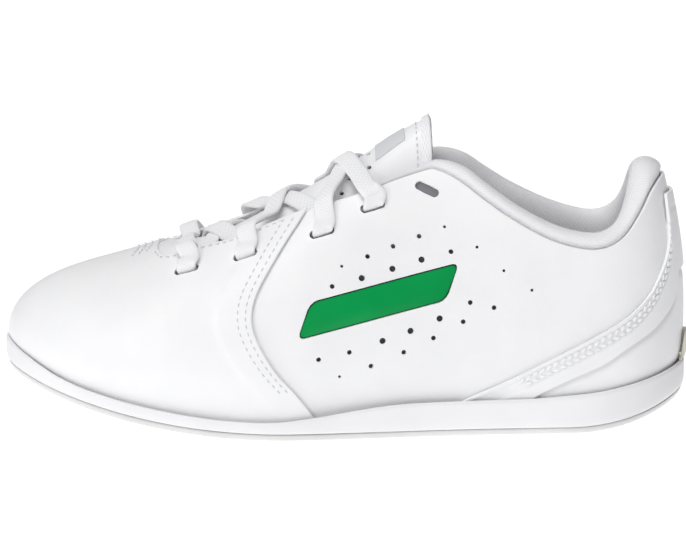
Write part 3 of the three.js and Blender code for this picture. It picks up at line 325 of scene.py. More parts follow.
# Place along the shoe, and half of the throat's width on the outer and on the inner side.
THROAT = [
    (-61, 8.5, 8.5), (-59, 14, 14), (-55, 16.3, 16.3), (-48.6, 17, 17), (-42.5, 18.1, 17.9), (-36, 19.6, 19),
    (-20, 20.8, 19.6), (-3, 21.6, 19.4), (9, 20.4, 17.6), (16, 19, 16.2), (23, 18, 15.7), (28, 17.6, 15.9),
]
THROAT_FRONT = THROAT[0][0]
THROAT_END = THROAT[-1][0]
throat_half = {
    OUTER: height_line([(x, outer) for x, outer, _ in THROAT]),
    INNER: height_line([(x, inner) for x, _, inner in THROAT]),
}
seam_line = height_line(
    [(6, -8.5), (14.6, -14.7), (22, -21.2), (30, -26.4), (37, -29.2), (43, -29.3), (48.5, -27.5), (55, -23.8),
     (64, -18), (73, -11.5), (81, -6)]
)
UNDERLAP = 12
band_line = height_line(
    [(5, 36), (10, 38), (12.2, 41), (17.3, 52), (23.8, 65.3), (30.7, 79.5), (37.9, 92.5), (44.8, 100),
     (51.9, 104), (58, 106.2), (65, 106.8), (72, 106)]
)
cup_line = height_line(
    [(5, 59), (12.2, 62.7), (18.3, 74), (23.3, 85.5), (27.6, 92), (33.7, 101.4), (38.5, 106.2), (42.7, 108.6),
     (47.6, 109.8), (52, 111), (54, 122)]
)
BAND_TOP = 76.8  # height of the heel band at the back of the heel


def place_of(s, side):
    return s if side == OUTER else 1 - s


def in_opening(p):
    side = INNER if p.y > 0 else OUTER
    if p.x <= THROAT_END:
        return p.x > THROAT_FRONT and abs(p.y) < throat_half[side](p.x)
    raised = 2.5 * math.exp(-(((p.x - 72) / 22) ** 2)) if side == INNER else 0
    return p.z > top_line(p.x) + raised


def crossing_share(s, beyond):
    """The share of the profile from which on beyond(point) is true."""
    return halve(lambda t: beyond(design_point(s, t)), LOWEST_SHARE, 1.0, 26)[0]


top_shares = {}


def top_share(s):
    key = round((s - math.floor(s)) * 1e6)
    if key not in top_shares:
        top = section(s)[3]
        closed = not in_opening(top + Vector((0, 0, -0.01)) if top.y else top)
        top_shares[key] = 1.0 if closed else crossing_share(s, in_opening)
    return top_shares[key]


def column_at_line(line, shift, v, side):
    """The column where a row at share v of the upper's height meets a side-view line."""

    def beyond(s):
        place = place_of(s, side)
        p = design_point(place, v * top_share(place))
        return p.x <= line(p.z) + shift

    low, high = halve(beyond, 0.02, 0.48, 24)
    return (low + high) / 2


def solve(target, axis, side, starts, rounds, damping, shares):
    """The column and share of the point of one side with the target's x, and its y or z by the axis."""

    def miss(s, t):
        p = design_point(place_of(s, side), t)
        return Vector((target[0] - p.x, target[1] - p[axis]))

    s, t = min(starts, key=lambda start: miss(*start).length)
    for _ in range(rounds):
        gap = miss(s, t)
        ds = (gap - miss(s + STEP, t)) / STEP
        dt = (miss(s, t - STEP) - gap) / STEP
        det = ds.x * dt.y - dt.x * ds.y
        s += (dt.y * gap.x - dt.x * gap.y) / det / damping
        t += (ds.x * gap.y - ds.y * gap.x) / det / damping
        t = clamp(t, *shares)
    return s, t


SIDE_STARTS = [(i / 60, j / 20) for i in range(1, 30) for j in range(1, 20)]
RIDGE_STARTS = [(i / 96, j / 24) for i in range(10, 48) for j in range(12, 25)]


def locate(x, z, side, guess=None):
    """The column and share of the point of one side that is at x and z in the side view."""
    starts = [guess] if guess else SIDE_STARTS
    return solve((x, z), 2, side, starts, 12, 1.3, (LOWEST_SHARE, 0.98))


def on_ridge(x, y):
    """The column and share of the point that is at x and y from above."""
    side = OUTER if y < 0 else INNER
    s, t = solve((x, y), 1, side, RIDGE_STARTS, 16, 1.5, (0.3, 0.999))
    return place_of(s, side), t


def along_surface(s, t, tilt):
    out = design_normal(s, t)
    way = Vector((math.cos(tilt), 0, math.sin(tilt)))
    return (way - out * way.dot(out)).normalized()


def sole_point(s, outset, share, height):
    """A point of the sole: outward from the upper's foot line, at a share of the way from the spine."""
    foot, outward = section(s)[0], section(s)[4]
    spine = Vector((foot.x * 0.84, (foot.y + section(1 - s)[0].y) / 2, 0))
    edge = Vector((foot.x, foot.y, 0)) + outward * outset
    p = spine.lerp(edge, share)
    p.z = height(p.x, share)
    return p


def row_shift():
    """From the pattern's place to the row frame: the sole's edge shows it."""
    edge = [sole_point(i / 48, SOLE_LIP, 1, lambda x, share: 0) for i in range(48)]
    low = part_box("midsole")[0]
    return Vector((low[0] / MM - min(p.x for p in edge), low[1] / MM - min(p.y for p in edge), 0))


SHIFT = row_shift()
TO_ROW = Matrix.Diagonal((MM, MM, MM, 1)) @ Matrix.Translation(SHIFT)


def in_row(p):
    return (p + SHIFT) * MM


# ---- Mesh helpers ---------------------------------------------------------------------------------


def new_piece(name, shape, body="shoe", finish=None):
    mesh = bpy.data.meshes.new(name)
    for face in shape.faces:
        face.smooth = True
    shape.to_mesh(mesh)
    shape.free()
    piece = bpy.data.objects.new(name, mesh)
    bpy.context.scene.collection.objects.link(piece)
    if finish:
        mesh.materials.append(finish)
    if body:
        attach(piece, body)
    return piece


def grid(columns, rows, place, size=(1, 1), shape=None):
    """A grid of columns by rows, put in place by place(u, v). Its UV map is in millimetres."""
    shape = shape or bmesh.new()
    layer = shape.loops.layers.uv.get("cloth") or shape.loops.layers.uv.new("cloth")
    made = bmesh.ops.create_grid(shape, x_segments=columns, y_segments=rows, size=0.5)["verts"]
    for face in {face for vert in made for face in vert.link_faces}:
        for loop in face.loops:
            loop[layer].uv = ((loop.vert.co.x + 0.5) * size[0], (loop.vert.co.y + 0.5) * size[1])
    for vert in made:
        vert.co = in_row(place(vert.co.x + 0.5, vert.co.y + 0.5))
    return shape


def merge(shape):
    bmesh.ops.remove_doubles(shape, verts=shape.verts, dist=0.01 * MM)


def close_holes(shape):
    bmesh.ops.holes_fill(shape, edges=shape.edges, sides=0)
    bmesh.ops.recalc_face_normals(shape, faces=shape.faces)


def closed_grid(columns, rows, place, size):
    """A grid whose rows meet each other, with its ends filled."""
    shape = grid(columns, rows, place, size)
    merge(shape)
    close_holes(shape)
    return shape


def apply_modifiers(piece):
    graph = bpy.context.evaluated_depsgraph_get()
    graph.update()
    made = bpy.data.meshes.new_from_object(piece.evaluated_get(graph))
    piece.modifiers.clear()
    piece.data = made


SHOE_INSIDE = Vector((0, 0, 20)) * MM


def face_out(piece):
    """Turns a sheet's faces away from the shoe's inside."""
    shape = bmesh.new()
    shape.from_mesh(piece.data)
    bmesh.ops.recalc_face_normals(shape, faces=shape.faces)
    facing = sum(f.normal.dot(f.calc_center_median() - SHOE_INSIDE) * f.calc_area() for f in shape.faces)
    if facing < 0:
        bmesh.ops.reverse_faces(shape, faces=shape.faces)
    shape.to_mesh(piece.data)
    shape.free()


def thicken(piece, thickness, rounding=0.35):
    """Gives a sheet its thickness, inward, and rounds its cut edges."""
    face_out(piece)
    wall = piece.modifiers.new("thickness", "SOLIDIFY")
    wall.thickness = thickness * MM
    wall.offset = -1
    if rounding:
        edge = piece.modifiers.new("rounding", "BEVEL")
        edge.width = rounding * MM
        edge.segments = 3
        edge.limit_method = "ANGLE"
        edge.angle_limit = math.radians(50)
    apply_modifiers(piece)


def cut(piece, cutters):
    """Takes the cutters out of a piece, and then deletes them."""
    tool = piece.modifiers.new("cut", "BOOLEAN")
    tool.operation = "DIFFERENCE"
    tool.solver = "EXACT"
    tool.object = cutters
    apply_modifiers(piece)
    piece.data.set_sharp_from_angle(angle=math.radians(42))
    bpy.data.objects.remove(cutters)


STITCH = 2.5  # pitch of the seams
FINE_STITCH = 2.2  # pitch of the closer rows
STITCH_SUNK = 0.3  # the share of a stitch's height that lies in the leather

# Length, width and height of the stitches.
HEEL_STITCH = (2.6, 1.15, 0.9)
SEAM_STITCH = (1.6, 0.5, 0.35)
THROAT_STITCH = (1.6, 0.45, 0.3)
FRONT_STITCH = (1.5, 0.55, 0.2)
TONGUE_STITCH = (1.5, 0.5, 0.35)


def stitch_row(shape, places, size, lean=0.0):
    """Adds a stitch of a size at each place, lying along the row or leaning from it."""
    length, width, height = size
    for place, way, out in places:
        way = (way + lean * out.cross(way).normalized()).normalized()
        across = out.cross(way).normalized()
        out = way.cross(across).normalized()
        turn = Matrix((way, across, out)).transposed().to_4x4()
        scale = Matrix.Diagonal((length / 2, width / 2, height / 2, 1))
        spot = Matrix.Translation(place + out * height * (0.5 - STITCH_SUNK))
        whole = TO_ROW @ spot @ turn @ scale
        bmesh.ops.create_uvsphere(shape, u_segments=6, v_segments=5, radius=1, matrix=whole)


def surface_row(places, distance):
    """Points with their normals on the upper, from columns and shares."""
    return [(upper_point(s, t, distance), design_normal(s, t)) for s, t in places]


# ---- Finishes ---------------------------------------------------------------------------------------


def linear(colour):
    parts = [int(colour[i : i + 2], 16) / 255 for i in (1, 3, 5)]
    return tuple(c / 12.92 if c <= 0.04045 else ((c + 0.055) / 1.055) ** 2.4 for c in parts) + (1,)


def add_node(tree, kind, values=None, links=None, **settings):
    """Adds a node with its settings, its inputs' values and its links."""
    made = tree.nodes.new(kind)
    for name, value in settings.items():
        setattr(made, name, value)
    for name, value in (values or {}).items():
        made.inputs[name].default_value = value
    for name, output in (links or {}).items():
        tree.links.new(output, made.inputs[name])
    return made


def new_finish(name, roughness, **values):
    made = bpy.data.materials.new(name)
    made.use_nodes = True
    shader = made.node_tree.nodes["Principled BSDF"]
    shader.inputs["Roughness"].default_value = roughness
    for key, value in values.items():
        shader.inputs[key.replace("_", " ")].default_value = value
    return made, made.node_tree, shader


def tint(tree, shader, factor, dark, light, low=0.3, high=0.7):
    """Colours the surface between two shades by a pattern."""
    ramp = add_node(tree, "ShaderNodeValToRGB", links={"Fac": factor})
    ramp.color_ramp.elements[0].color = linear(dark)
    ramp.color_ramp.elements[1].color = linear(light)
    ramp.color_ramp.elements[0].position = low
    ramp.color_ramp.elements[1].position = high
    tree.links.new(ramp.outputs["Color"], shader.inputs["Base Color"])


def relief(tree, shader, *patterns):
    """Adds patterns to the surface as bumps: each is a height, its depth in millimetres and its strength."""
    under = None
    for height, depth, strength in patterns:
        values = {"Distance": depth * MM, "Strength": strength}
        bump = add_node(tree, "ShaderNodeBump", values, {"Height": height})
        if under:
            tree.links.new(under.outputs["Normal"], bump.inputs["Normal"])
        under = bump
    tree.links.new(under.outputs["Normal"], shader.inputs["Normal"])


def leather(name, light, dark, roughness):
    """Pigmented full-grain leather, pressed with a fine pebble: a soft sheen that the grain breaks up."""
    made, tree, shader = new_finish(name, roughness)
    place = add_node(tree, "ShaderNodeTexCoord").outputs["Object"]
    pebble = add_node(tree, "ShaderNodeTexVoronoi", {"Scale": 1 / (0.75 * MM)}, {"Vector": place})
    pore = add_node(tree, "ShaderNodeTexNoise", {"Scale": 1 / (0.4 * MM), "Detail": 3}, {"Vector": place})
    crease = add_node(tree, "ShaderNodeTexNoise", {"Scale": 1 / (14 * MM), "Detail": 2}, {"Vector": place})
    relief(
        tree, shader,
        (crease.outputs["Fac"], 0.5, 0.35),
        (pebble.outputs["Distance"], 0.05, 0.5),
        (pore.outputs["Fac"], 0.05, 0.5),
    )
    tint(tree, shader, crease.outputs["Fac"], dark, light)
    return made


def knit(name, light, dark, pitch, depth, turn=45.0, roughness=0.9):
    """Knitted or woven yarn: a regular net of small loops in relief, matt, with painted shade in the gaps."""
    made, tree, shader = new_finish(name, roughness, Sheen_Weight=0.25, Sheen_Roughness=0.5)
    cloth = add_node(tree, "ShaderNodeUVMap", uv_map="cloth").outputs["UV"]
    spin = {"Rotation": (0, 0, math.radians(turn))}
    turned = add_node(tree, "ShaderNodeMapping", spin, {"Vector": cloth}).outputs["Vector"]
    net = {"Scale": 1 / pitch, "Randomness": 0.12}
    loops = add_node(tree, "ShaderNodeTexVoronoi", net, {"Vector": turned}).outputs["Distance"]
    fuzz = add_node(tree, "ShaderNodeTexNoise", {"Scale": 2 / pitch, "Detail": 3}, {"Vector": cloth})
    relief(tree, shader, (loops, -depth, 0.8), (fuzz.outputs["Fac"], depth / 3, 0.4))
    # Painted shade: the gaps between the loops are coloured darker than the yarn.
    tint(tree, shader, loops, light, dark, 0.3, 0.75)
    return made


def moulded(name, light, dark, roughness, grain=0.8, **values):
    """Moulded rubber, foam or plastic: an even colour with the faint texture of its mould."""
    made, tree, shader = new_finish(name, roughness, **values)
    place = add_node(tree, "ShaderNodeTexCoord").outputs["Object"]
    mould = add_node(tree, "ShaderNodeTexNoise", {"Scale": 1 / (grain * MM), "Detail": 3}, {"Vector": place})
    cloud = add_node(tree, "ShaderNodeTexNoise", {"Scale": 1 / (25 * MM), "Detail": 2}, {"Vector": place})
    relief(tree, shader, (mould.outputs["Fac"], 0.04, 0.4))
    tint(tree, shader, cloud.outputs["Fac"], dark, light)
    return made


WHITE_LEATHER = leather("pressed_leather", "#fbfbfc", "#f7f7f9", 0.42)
SMOOTH_LEATHER = leather("smooth_leather", "#fcfcfd", "#f8f8fa", 0.38)
COLLAR_KNIT = knit("collar_spacer_knit", "#fcfbfd", "#eeecf2", 1.3, 0.26)
LINING_KNIT = knit("brushed_lining_knit", "#ecebf0", "#d5d3dc", 1.0, 0.1, turn=0)
LACE_WEAVE = knit("lace_flat_weave", "#fbfbfc", "#ececf0", 0.6, 0.1)
TONGUE_KNIT = knit("tongue_fine_knit", "#fafafc", "#e4e3ea", 0.75, 0.12)
INSOLE_KNIT = knit("insole_brushed_cloth", "#e8e8ec", "#d4d4da", 0.9, 0.08, turn=0)
THREAD = moulded("bonded_nylon_thread", "#ffffff", "#f2f2f5", 0.55, grain=0.3)
MIDSOLE_RUBBER = moulded("moulded_midsole_rubber", "#fafafb", "#f4f3f6", 0.42)
OUTSOLE_RUBBER = moulded("clear_outsole_rubber", "#ebeae9", "#dfdedd", 0.3, Coat_Weight=0.3)
TAB_RUBBER = moulded("heel_tab_rubber", "#ebe9dc", "#e2dfcd", 0.4)
GREEN_PLASTIC = moulded(
    "glossy_green_plastic", "#009f50", "#009247", 0.24, grain=2.5,
    Coat_Weight=0.06, Coat_Roughness=0.06, Specular_IOR_Level=0.18,
)
LABEL_RUBBER = moulded("printed_label_rubber", "#dfe0e3", "#d7d8dc", 0.5)
# Painted shade: a dark sheet behind the perforations and round the colour bar, so that the holes and the gap
# look shaded deep inside.
SHADE_BACKING = moulded("backing_painted_shade", "#4a4b4d", "#3c3d40", 0.85, grain=0.6)
AGLET_FILM = moulded("heat_shrunk_film", "#f3f4f5", "#e9ebee", 0.2, Coat_Weight=0.4)
# Painted shade: a mid grey behind the open eyelet stands in for the shade inside the slot.
EYELET_SHADE_GREY = moulded("eyelet_backing_painted_shade", "#8d8c92", "#7b7a80", 0.9, grain=0.4)
# Painted shade: the seam, throat and tongue stitches are the same white thread as the rest, greyed so that
# they read as shaded dashes.
SHADE_GREY_THREAD = moulded("seam_thread_painted_shade", "#dcdce0", "#d2d2d7", 0.6, grain=0.3)
BOARD_FIBRE = moulded("stitched_board_fibre", "#dad5ca", "#cdc7ba", 0.9)
STIFFENER_FELT = moulded("stiffener_felt", "#e6e5e2", "#d9d8d4", 0.85)


# ---- Leather upper ----------------------------------------------------------------------------------

# Place along the shoe, height and slope of each slot, from the toe; the last one stays open.
EYELETS = [
    (-50.8, 53.5, 0.12), (-31.5, 58.8, 0.24), (-6.9, 67.1, 0.34), (9.6, 74.9, 0.36), (27.4, 80.1, -0.5),
]
HOLE_L, HOLE_M, HOLE_S = 2.1, 1.6, 1.0
HOLES = [
    (-0.4, 56.5, HOLE_S), (8, 59.4, HOLE_M), (16.3, 62.4, HOLE_M), (24.8, 65.4, HOLE_M), (33.1, 68.3, HOLE_S),
    (-3.5, 50.2, HOLE_M), (6.1, 52.6, HOLE_L), (16.1, 55.3, HOLE_L), (25.6, 58, HOLE_L), (35.2, 60.4, HOLE_M),
    (43.7, 61.8, HOLE_S), (-7.9, 26.7, HOLE_M), (2.1, 28.8, HOLE_M), (12.9, 32.2, HOLE_L), (22, 35.2, HOLE_L),
    (31.5, 39, HOLE_L), (41.5, 44, HOLE_M), (-1.1, 20.9, HOLE_S), (9.1, 24.1, HOLE_M), (19.8, 28.3, HOLE_M),
    (29.5, 32.7, HOLE_M), (39.2, 37.8, HOLE_M), (49.3, 42.2, HOLE_M), (52.5, 54.1, HOLE_S),
    (61.7, 47.7, HOLE_S),
]
BAR_MIDDLE = (11.5, 45)
BAR_SLOPE = 0.235
BAR_SLANT = 7
CUTTER_DEPTH = 6  # how far a cutter reaches to either side of the upper


def slot_cutter(shape, place, side, length, width):
    """Adds a slot or a round hole, square to the upper, to a cutter."""
    x, z, tilt = place
    s, t = locate(x, z, side)
    s = place_of(s, side)
    out = design_normal(s, t)
    way = along_surface(s, t, tilt)
    frame_of = Matrix((way, out.cross(way), out)).transposed().to_4x4()
    frame_of.translation = upper_point(s, t, 0)
    made = bmesh.ops.create_circle(shape, cap_ends=True, radius=width / 2, segments=16)["verts"]
    for vert in made:
        vert.co.x += math.copysign((length - width) / 2, vert.co.x) if abs(vert.co.x) > 1e-4 else 0
        vert.co.z = -CUTTER_DEPTH
    face = next(f for f in made[0].link_faces if len(f.verts) == len(made))
    raised = bmesh.ops.extrude_face_region(shape, geom=[face])["geom"]
    top = [v for v in raised if isinstance(v, bmesh.types.BMVert)]
    bmesh.ops.translate(shape, verts=top, vec=(0, 0, 2 * CUTTER_DEPTH))
    bmesh.ops.transform(shape, verts=made + top, matrix=TO_ROW @ frame_of)


def bar_point(a, b, grow=0.0):
    """A place on the bar in the side view: a and b run from -1 to 1 along and across it."""
    half, tall = BAR_LENGTH / 2 + grow, BAR_HEIGHT / 2 + grow
    corner = BAR_CORNER + max(grow, 0)
    height = b * tall
    past = max(0, abs(height) - (tall - corner)) / corner
    x = a * (half - corner * (1 - math.sqrt(max(0, 1 - past * past)))) + b * BAR_SLANT / 2
    return (
        BAR_MIDDLE[0] + x * math.cos(BAR_SLOPE) - height * math.sin(BAR_SLOPE),
        BAR_MIDDLE[1] + x * math.sin(BAR_SLOPE) + height * math.cos(BAR_SLOPE),
    )


def bar_rim(grow, steps=10):
    """The bar's outline: along its foot, up one end, back along its top and down the other."""
    eased = [math.sin(math.pi / 2 * (2 * i / steps - 1)) for i in range(steps + 1)]
    up = [bar_point(1, b, grow) for b in eased]
    return up + [bar_point(-1, b, grow) for b in reversed(eased)]


def window_cutter(shape, grow):
    verts = [shape.verts.new(in_row(Vector((x, -60, z)))) for x, z in bar_rim(grow)]
    face = shape.faces.new(verts)
    raised = bmesh.ops.extrude_face_region(shape, geom=[face])["geom"]
    top = [v for v in raised if isinstance(v, bmesh.types.BMVert)]
    bmesh.ops.translate(shape, verts=top, vec=(0, 50 * MM, 0))


def cutter_piece(side, slots, holes, window=False):
    shape = bmesh.new()
    for slot in slots:
        slot_cutter(shape, slot, side, EYELET_LENGTH, EYELET_WIDTH)
    for x, z, size in holes:
        slot_cutter(shape, (x, z, 0), side, size + 0.02, size)
    if window:
        window_cutter(shape, 0)
    bmesh.ops.recalc_face_normals(shape, faces=shape.faces)
    return new_piece("cutter", shape, body=None)


def cut_front_eyelets(piece):
    for side in (OUTER, INNER):
        cut(piece, cutter_piece(side, EYELETS[:2], []))


def below_edge(drop_throat, drop_ankle):
    """A top edge for linings: below the throat's edge, and further below the ankle's."""
    found = {}

    def at(s):
        key = round(s * 1e6)
        if key not in found:
            share = top_share(s)
            p = design_point(s, share)
            drop = mix(drop_throat, drop_ankle, smooth_step((p.x - 26) / 12))
            found[key] = share_down(s, share, drop)
        return found[key]

    return at


def quarter_sheet(side, distance, top, shift=-UNDERLAP, columns=150, rows=64):
    fronts = {}

    def place(u, v):
        key = round(v * 1e4)
        if key not in fronts:
            fronts[key] = column_at_line(seam_line, shift, v, side)
        s = place_of(mix(0.0008, fronts[key], u), side)
        return upper_point(s, v * top(s), distance)

    return grid(columns, rows, place, (150, 70))


def add_quarter(name, side):
    piece = new_piece(name, quarter_sheet(side, 0, top_share), finish=WHITE_LEATHER)
    thicken(piece, LEATHER - 0.05)
    cut(piece, cutter_piece(side, EYELETS[2:], HOLES, window=side == OUTER))
    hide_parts(name)


RIDGE_COLUMN = 0.4  # from here to the toe both sides of the vamp share their columns


def vamp_grid(shape, side, distance, top, shift, swell, columns=130, rows=64):
    seams = {}

    def place(u, v):
        key = round(v * 1e4)
        if key not in seams:
            seams[key] = column_at_line(seam_line, shift, v, side)
        s = mix(seams[key], RIDGE_COLUMN, u * 2) if u < 0.5 else mix(RIDGE_COLUMN, 0.5, u * 2 - 1)
        here = place_of(s, side)
        t = v * top(here)
        p = upper_point(here, t, distance)
        if swell:
            near = smooth_step((p.x - seam_line(p.z) + UNDERLAP + 1.5) / 3)
            p += design_normal(here, t) * swell * (near - 1)
        return p

    grid(columns, rows, place, (150, 70), shape)


def vamp_sheet(distance, top, shift=0.0, swell=0.0):
    shape = bmesh.new()
    for side in (OUTER, INNER):
        vamp_grid(shape, side, distance, top, shift, swell)
    merge(shape)
    return shape


def add_vamp():
    piece = new_piece("vamp", vamp_sheet(VAMP_FACE, top_share, swell=0.35), finish=SMOOTH_LEATHER)
    thicken(piece, 1.0)
    cut_front_eyelets(piece)
    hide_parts("vamp")


def add_linings():
    top = below_edge(2.4, COLLAR_DEPTH)
    for word, side in SIDES:
        name = f"lining_{word}"
        piece = new_piece(name, quarter_sheet(side, INSIDE[1], top, columns=90, rows=36), finish=LINING_KNIT)
        thicken(piece, 0.8, rounding=0)
        cut(piece, cutter_piece(side, EYELETS[2:4], []))
        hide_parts(name)
    piece = new_piece("vamp_lining", vamp_sheet(INSIDE[1], top, shift=-UNDERLAP - 2), finish=LINING_KNIT)
    thicken(piece, 0.8, rounding=0)
    cut_front_eyelets(piece)
    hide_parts("vamp_lining")


def band_share(s):
    def beyond(p):
        return p.x < band_line(p.z) or p.z > BAND_TOP + (p.x - 104.6) * 0.08

    return crossing_share(s, beyond)


def cup_share(s):
    share = crossing_share(s, lambda p: p.x < cup_line(p.z))
    return 0 if share < LOWEST_SHARE + 0.001 else share


def heel_reach(line, v=0.03):
    return [-column_at_line(line, 0, v, INNER), column_at_line(line, 0, v, OUTER)]


CUP_STEP = 0.55  # the heel cup lies this far below the band's face
CREASE_DEPTH = 0.85  # and dips this much further along the seam
CREASE_WIDTH = 2.0
CHANNEL = (0.9, 5.8)  # the sewn channel of the heel band, from its top edge
CHANNEL_DEPTH = 0.4
BACK_CLEAR = 5.6  # the stitches stop this far below the band's top


def add_heel_cup():
    first, last = heel_reach(cup_line)

    def cup(u, v):
        s = mix(first, last, u)
        top = cup_share(s)
        share = v * (top + 0.035 * min(1, top * 6))
        below = (design_point(s, top) - design_point(s, share)).length
        crease = CREASE_DEPTH * math.exp(-((below / CREASE_WIDTH) ** 2)) if share < top else CREASE_DEPTH
        return upper_point(s, share, BAND_FACE - CUP_STEP - crease)

    piece = new_piece("heel_cup", grid(150, 56, cup, (120, 45)), finish=WHITE_LEATHER)
    thicken(piece, 0.6, 0.2)
    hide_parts("heel_cup")


def add_heel_band():
    start, stop = heel_reach(band_line)

    def band(u, v):
        s = mix(start, stop, u)
        foot, top = cup_share(s), band_share(s)
        t = mix(min(foot, top), top, v)
        here = design_point(s, t)
        down = (design_point(s, top) - here).length
        groove = smooth_step((down - CHANNEL[0]) / 0.6) * smooth_step((CHANNEL[1] - down) / 0.6)
        groove *= smooth_step((BAND_TOP - 4 - here.z) / 1.5)
        return upper_point(s, t, BAND_FACE - CHANNEL_DEPTH * groove)

    piece = new_piece("heel_band", grid(170, 30, band, (180, 30)), finish=WHITE_LEATHER)
    thicken(piece, OVERLAY - 0.05, 0.45)
    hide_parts("heel_band")


def add_heel_stitches():
    shape = bmesh.new()
    start, stop = heel_reach(band_line)
    columns = [mix(start, stop, i / 160) for i in range(3, 158)]
    for drop, lean in ((2.3, 0.3), (4.4, -0.3)):
        row = [(s, share_down(s, band_share(s), drop)) for s in columns]
        row = [(s, t) for s, t in row if t > 0.1 and design_point(s, t).z < BAND_TOP - BACK_CLEAR]
        for side in (OUTER, INNER):
            half = [(s, t) for s, t in row if (s > 0) == (side == OUTER)]
            places = evenly(surface_row(half, BAND_FACE - CHANNEL_DEPTH), STITCH)
            stitch_row(shape, places, HEEL_STITCH, lean)
    piece = new_piece("heel_band_stitching", shape, finish=THREAD)


def add_seam_stitches():
    shape = bmesh.new()
    for side in (OUTER, INNER):
        for shift in (-2.0, -4.6):
            row = []
            for i in range(60):
                v = mix(0.12, 0.97, i / 59)
                s = place_of(column_at_line(seam_line, shift, v, side), side)
                row.append((s, v * top_share(s)))
            places = evenly(surface_row(row, VAMP_FACE), STITCH)
            stitch_row(shape, places, SEAM_STITCH)
    piece = new_piece("vamp_seam_stitching", shape, finish=SHADE_GREY_THREAD)


def add_throat_stitches():
    shape = bmesh.new()
    for side in (OUTER, INNER):
        row = []
        for i in range(50):
            s = place_of(mix(0.4, 0.31, i / 49), side)
            row.append((s, share_down(s, top_share(s), 1.8)))
        stitch_row(shape, evenly(surface_row(row, VAMP_FACE), STITCH), THROAT_STITCH)
    for k in range(3):
        row = []
        for i in range(31):
            y = mix(-9, 9, i / 30)
            x = THROAT_FRONT - 1.8 - 2.3 * k - 0.018 * y * y * 1.5
            row.append(on_ridge(x, y))
        stitch_row(shape, evenly(surface_row(row, VAMP_FACE), FINE_STITCH), FRONT_STITCH)
    piece = new_piece("throat_stitching", shape, finish=SHADE_GREY_THREAD)


def add_colour_bar():
    spots = {}

    def place(u, v):
        a, b = math.sin(math.pi / 2 * (2 * u - 1)), math.sin(math.pi / 2 * (2 * v - 1))
        x, z = bar_point(a, b, -BAR_PLAY)
        s, t = locate(x, z, OUTER, spots.get("last"))
        spots["last"] = (s, t)
        crown = 0.3 * (1 - a**4) * (1 - b * b)
        return upper_point(s, t, crown - BAR_RECESS)

    piece = new_piece("colour_bar", grid(64, 16, place, (50, 11)), body="colour_bar", finish=GREEN_PLASTIC)
    thicken(piece, 0.85, 0.25)
    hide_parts("colour_bar")


def add_backing():
    spots = {}

    def place(u, v):
        x = mix(-11, 64, u)
        z = min(mix(17, 60, v) + 0.12 * x, top_line(x) - 6)
        near = spots.get("last") if spots.get("row") == v else None
        s, t = locate(x, z, side, near)
        spots.update(last=(s, t), row=v)
        return upper_point(place_of(s, side), t, -LEATHER - 0.04)

    # Painted shade: a dark sheet just behind the perforated leather darkens the holes.
    for word, side in SIDES:
        spots.clear()
        piece = new_piece(f"perforation_backing_{word}", grid(30, 18, place, (75, 45)), finish=SHADE_BACKING)
        thicken(piece, 0.12, 0)

    def behind_eyelet(u, v):
        x, z, _ = EYELETS[-1]
        x += mix(-7, 7, u)
        s, t = locate(x, min(z + mix(-5, 4, v), top_line(x) - 2.6), side)
        return upper_point(place_of(s, side), t, -LEATHER - 0.04)

    # Painted shade: a grey sheet behind the open eyelet.
    for word, side in SIDES:
        piece = new_piece(f"eyelet_backing_{word}", grid(10, 8, behind_eyelet, (14, 9)), finish=EYELET_SHADE_GREY)
        thicken(piece, 0.12, 0)


# ---- Collar -----------------------------------------------------------------------------------------

# The padding's section: distance from the design surface, and height above the leather's edge.
COLLAR_FULL = [
    (-1.75, -4), (-1.75, -0.3), (-1.2, 0.9), (-0.5, 2.4), (-1.3, 4.4), (-3.6, 5.6), (-6.2, 4.8), (-7.7, 2),
    (-8, -3), (-7.4, -11), (-5.2, -19.6), (-3.5, -20.3), (-3.1, -12),
]
COLLAR_HEEL = [
    (-1.75, -4), (-1.75, -0.3), (-1.2, 0.9), (-0.6, 2.6), (-1.9, 4.7), (-5.2, 6.4), (-8.9, 5.8),
    (-11.2, 2.6), (-11.2, -3), (-9.4, -11), (-5.8, -19.6), (-3.6, -20.3), (-3.1, -12),
]
COLLAR_THIN = [
    (-1.75, -2), (-1.75, -0.2), (-1.2, 0.5), (-0.8, 1.1), (-1.2, 1.8), (-2.2, 2.2), (-3.4, 1.9), (-4.1, 1),
    (-4.2, -0.6), (-4, -2), (-3.6, -3.2), (-3, -3.6), (-2.2, -3.2),
]
COLLAR_FRONT = 9
COLLAR_FULL_FROM = 42


def collar_column(x, side):
    def beyond(s):
        place = place_of(s, side)
        return design_point(place, top_share(place)).x <= x

    return side * -halve(beyond, 0.0, 0.3, 30)[0]


def collar_place(s, distance, height):
    t = top_share(s)
    if height <= 0:
        return upper_point(s, share_down(s, t, -height), distance)
    p = upper_point(s, t, 0)
    up = (p - upper_point(s, t - 0.03, 0)).normalized()
    return p + design_normal(s, t - 0.01) * distance + up * height


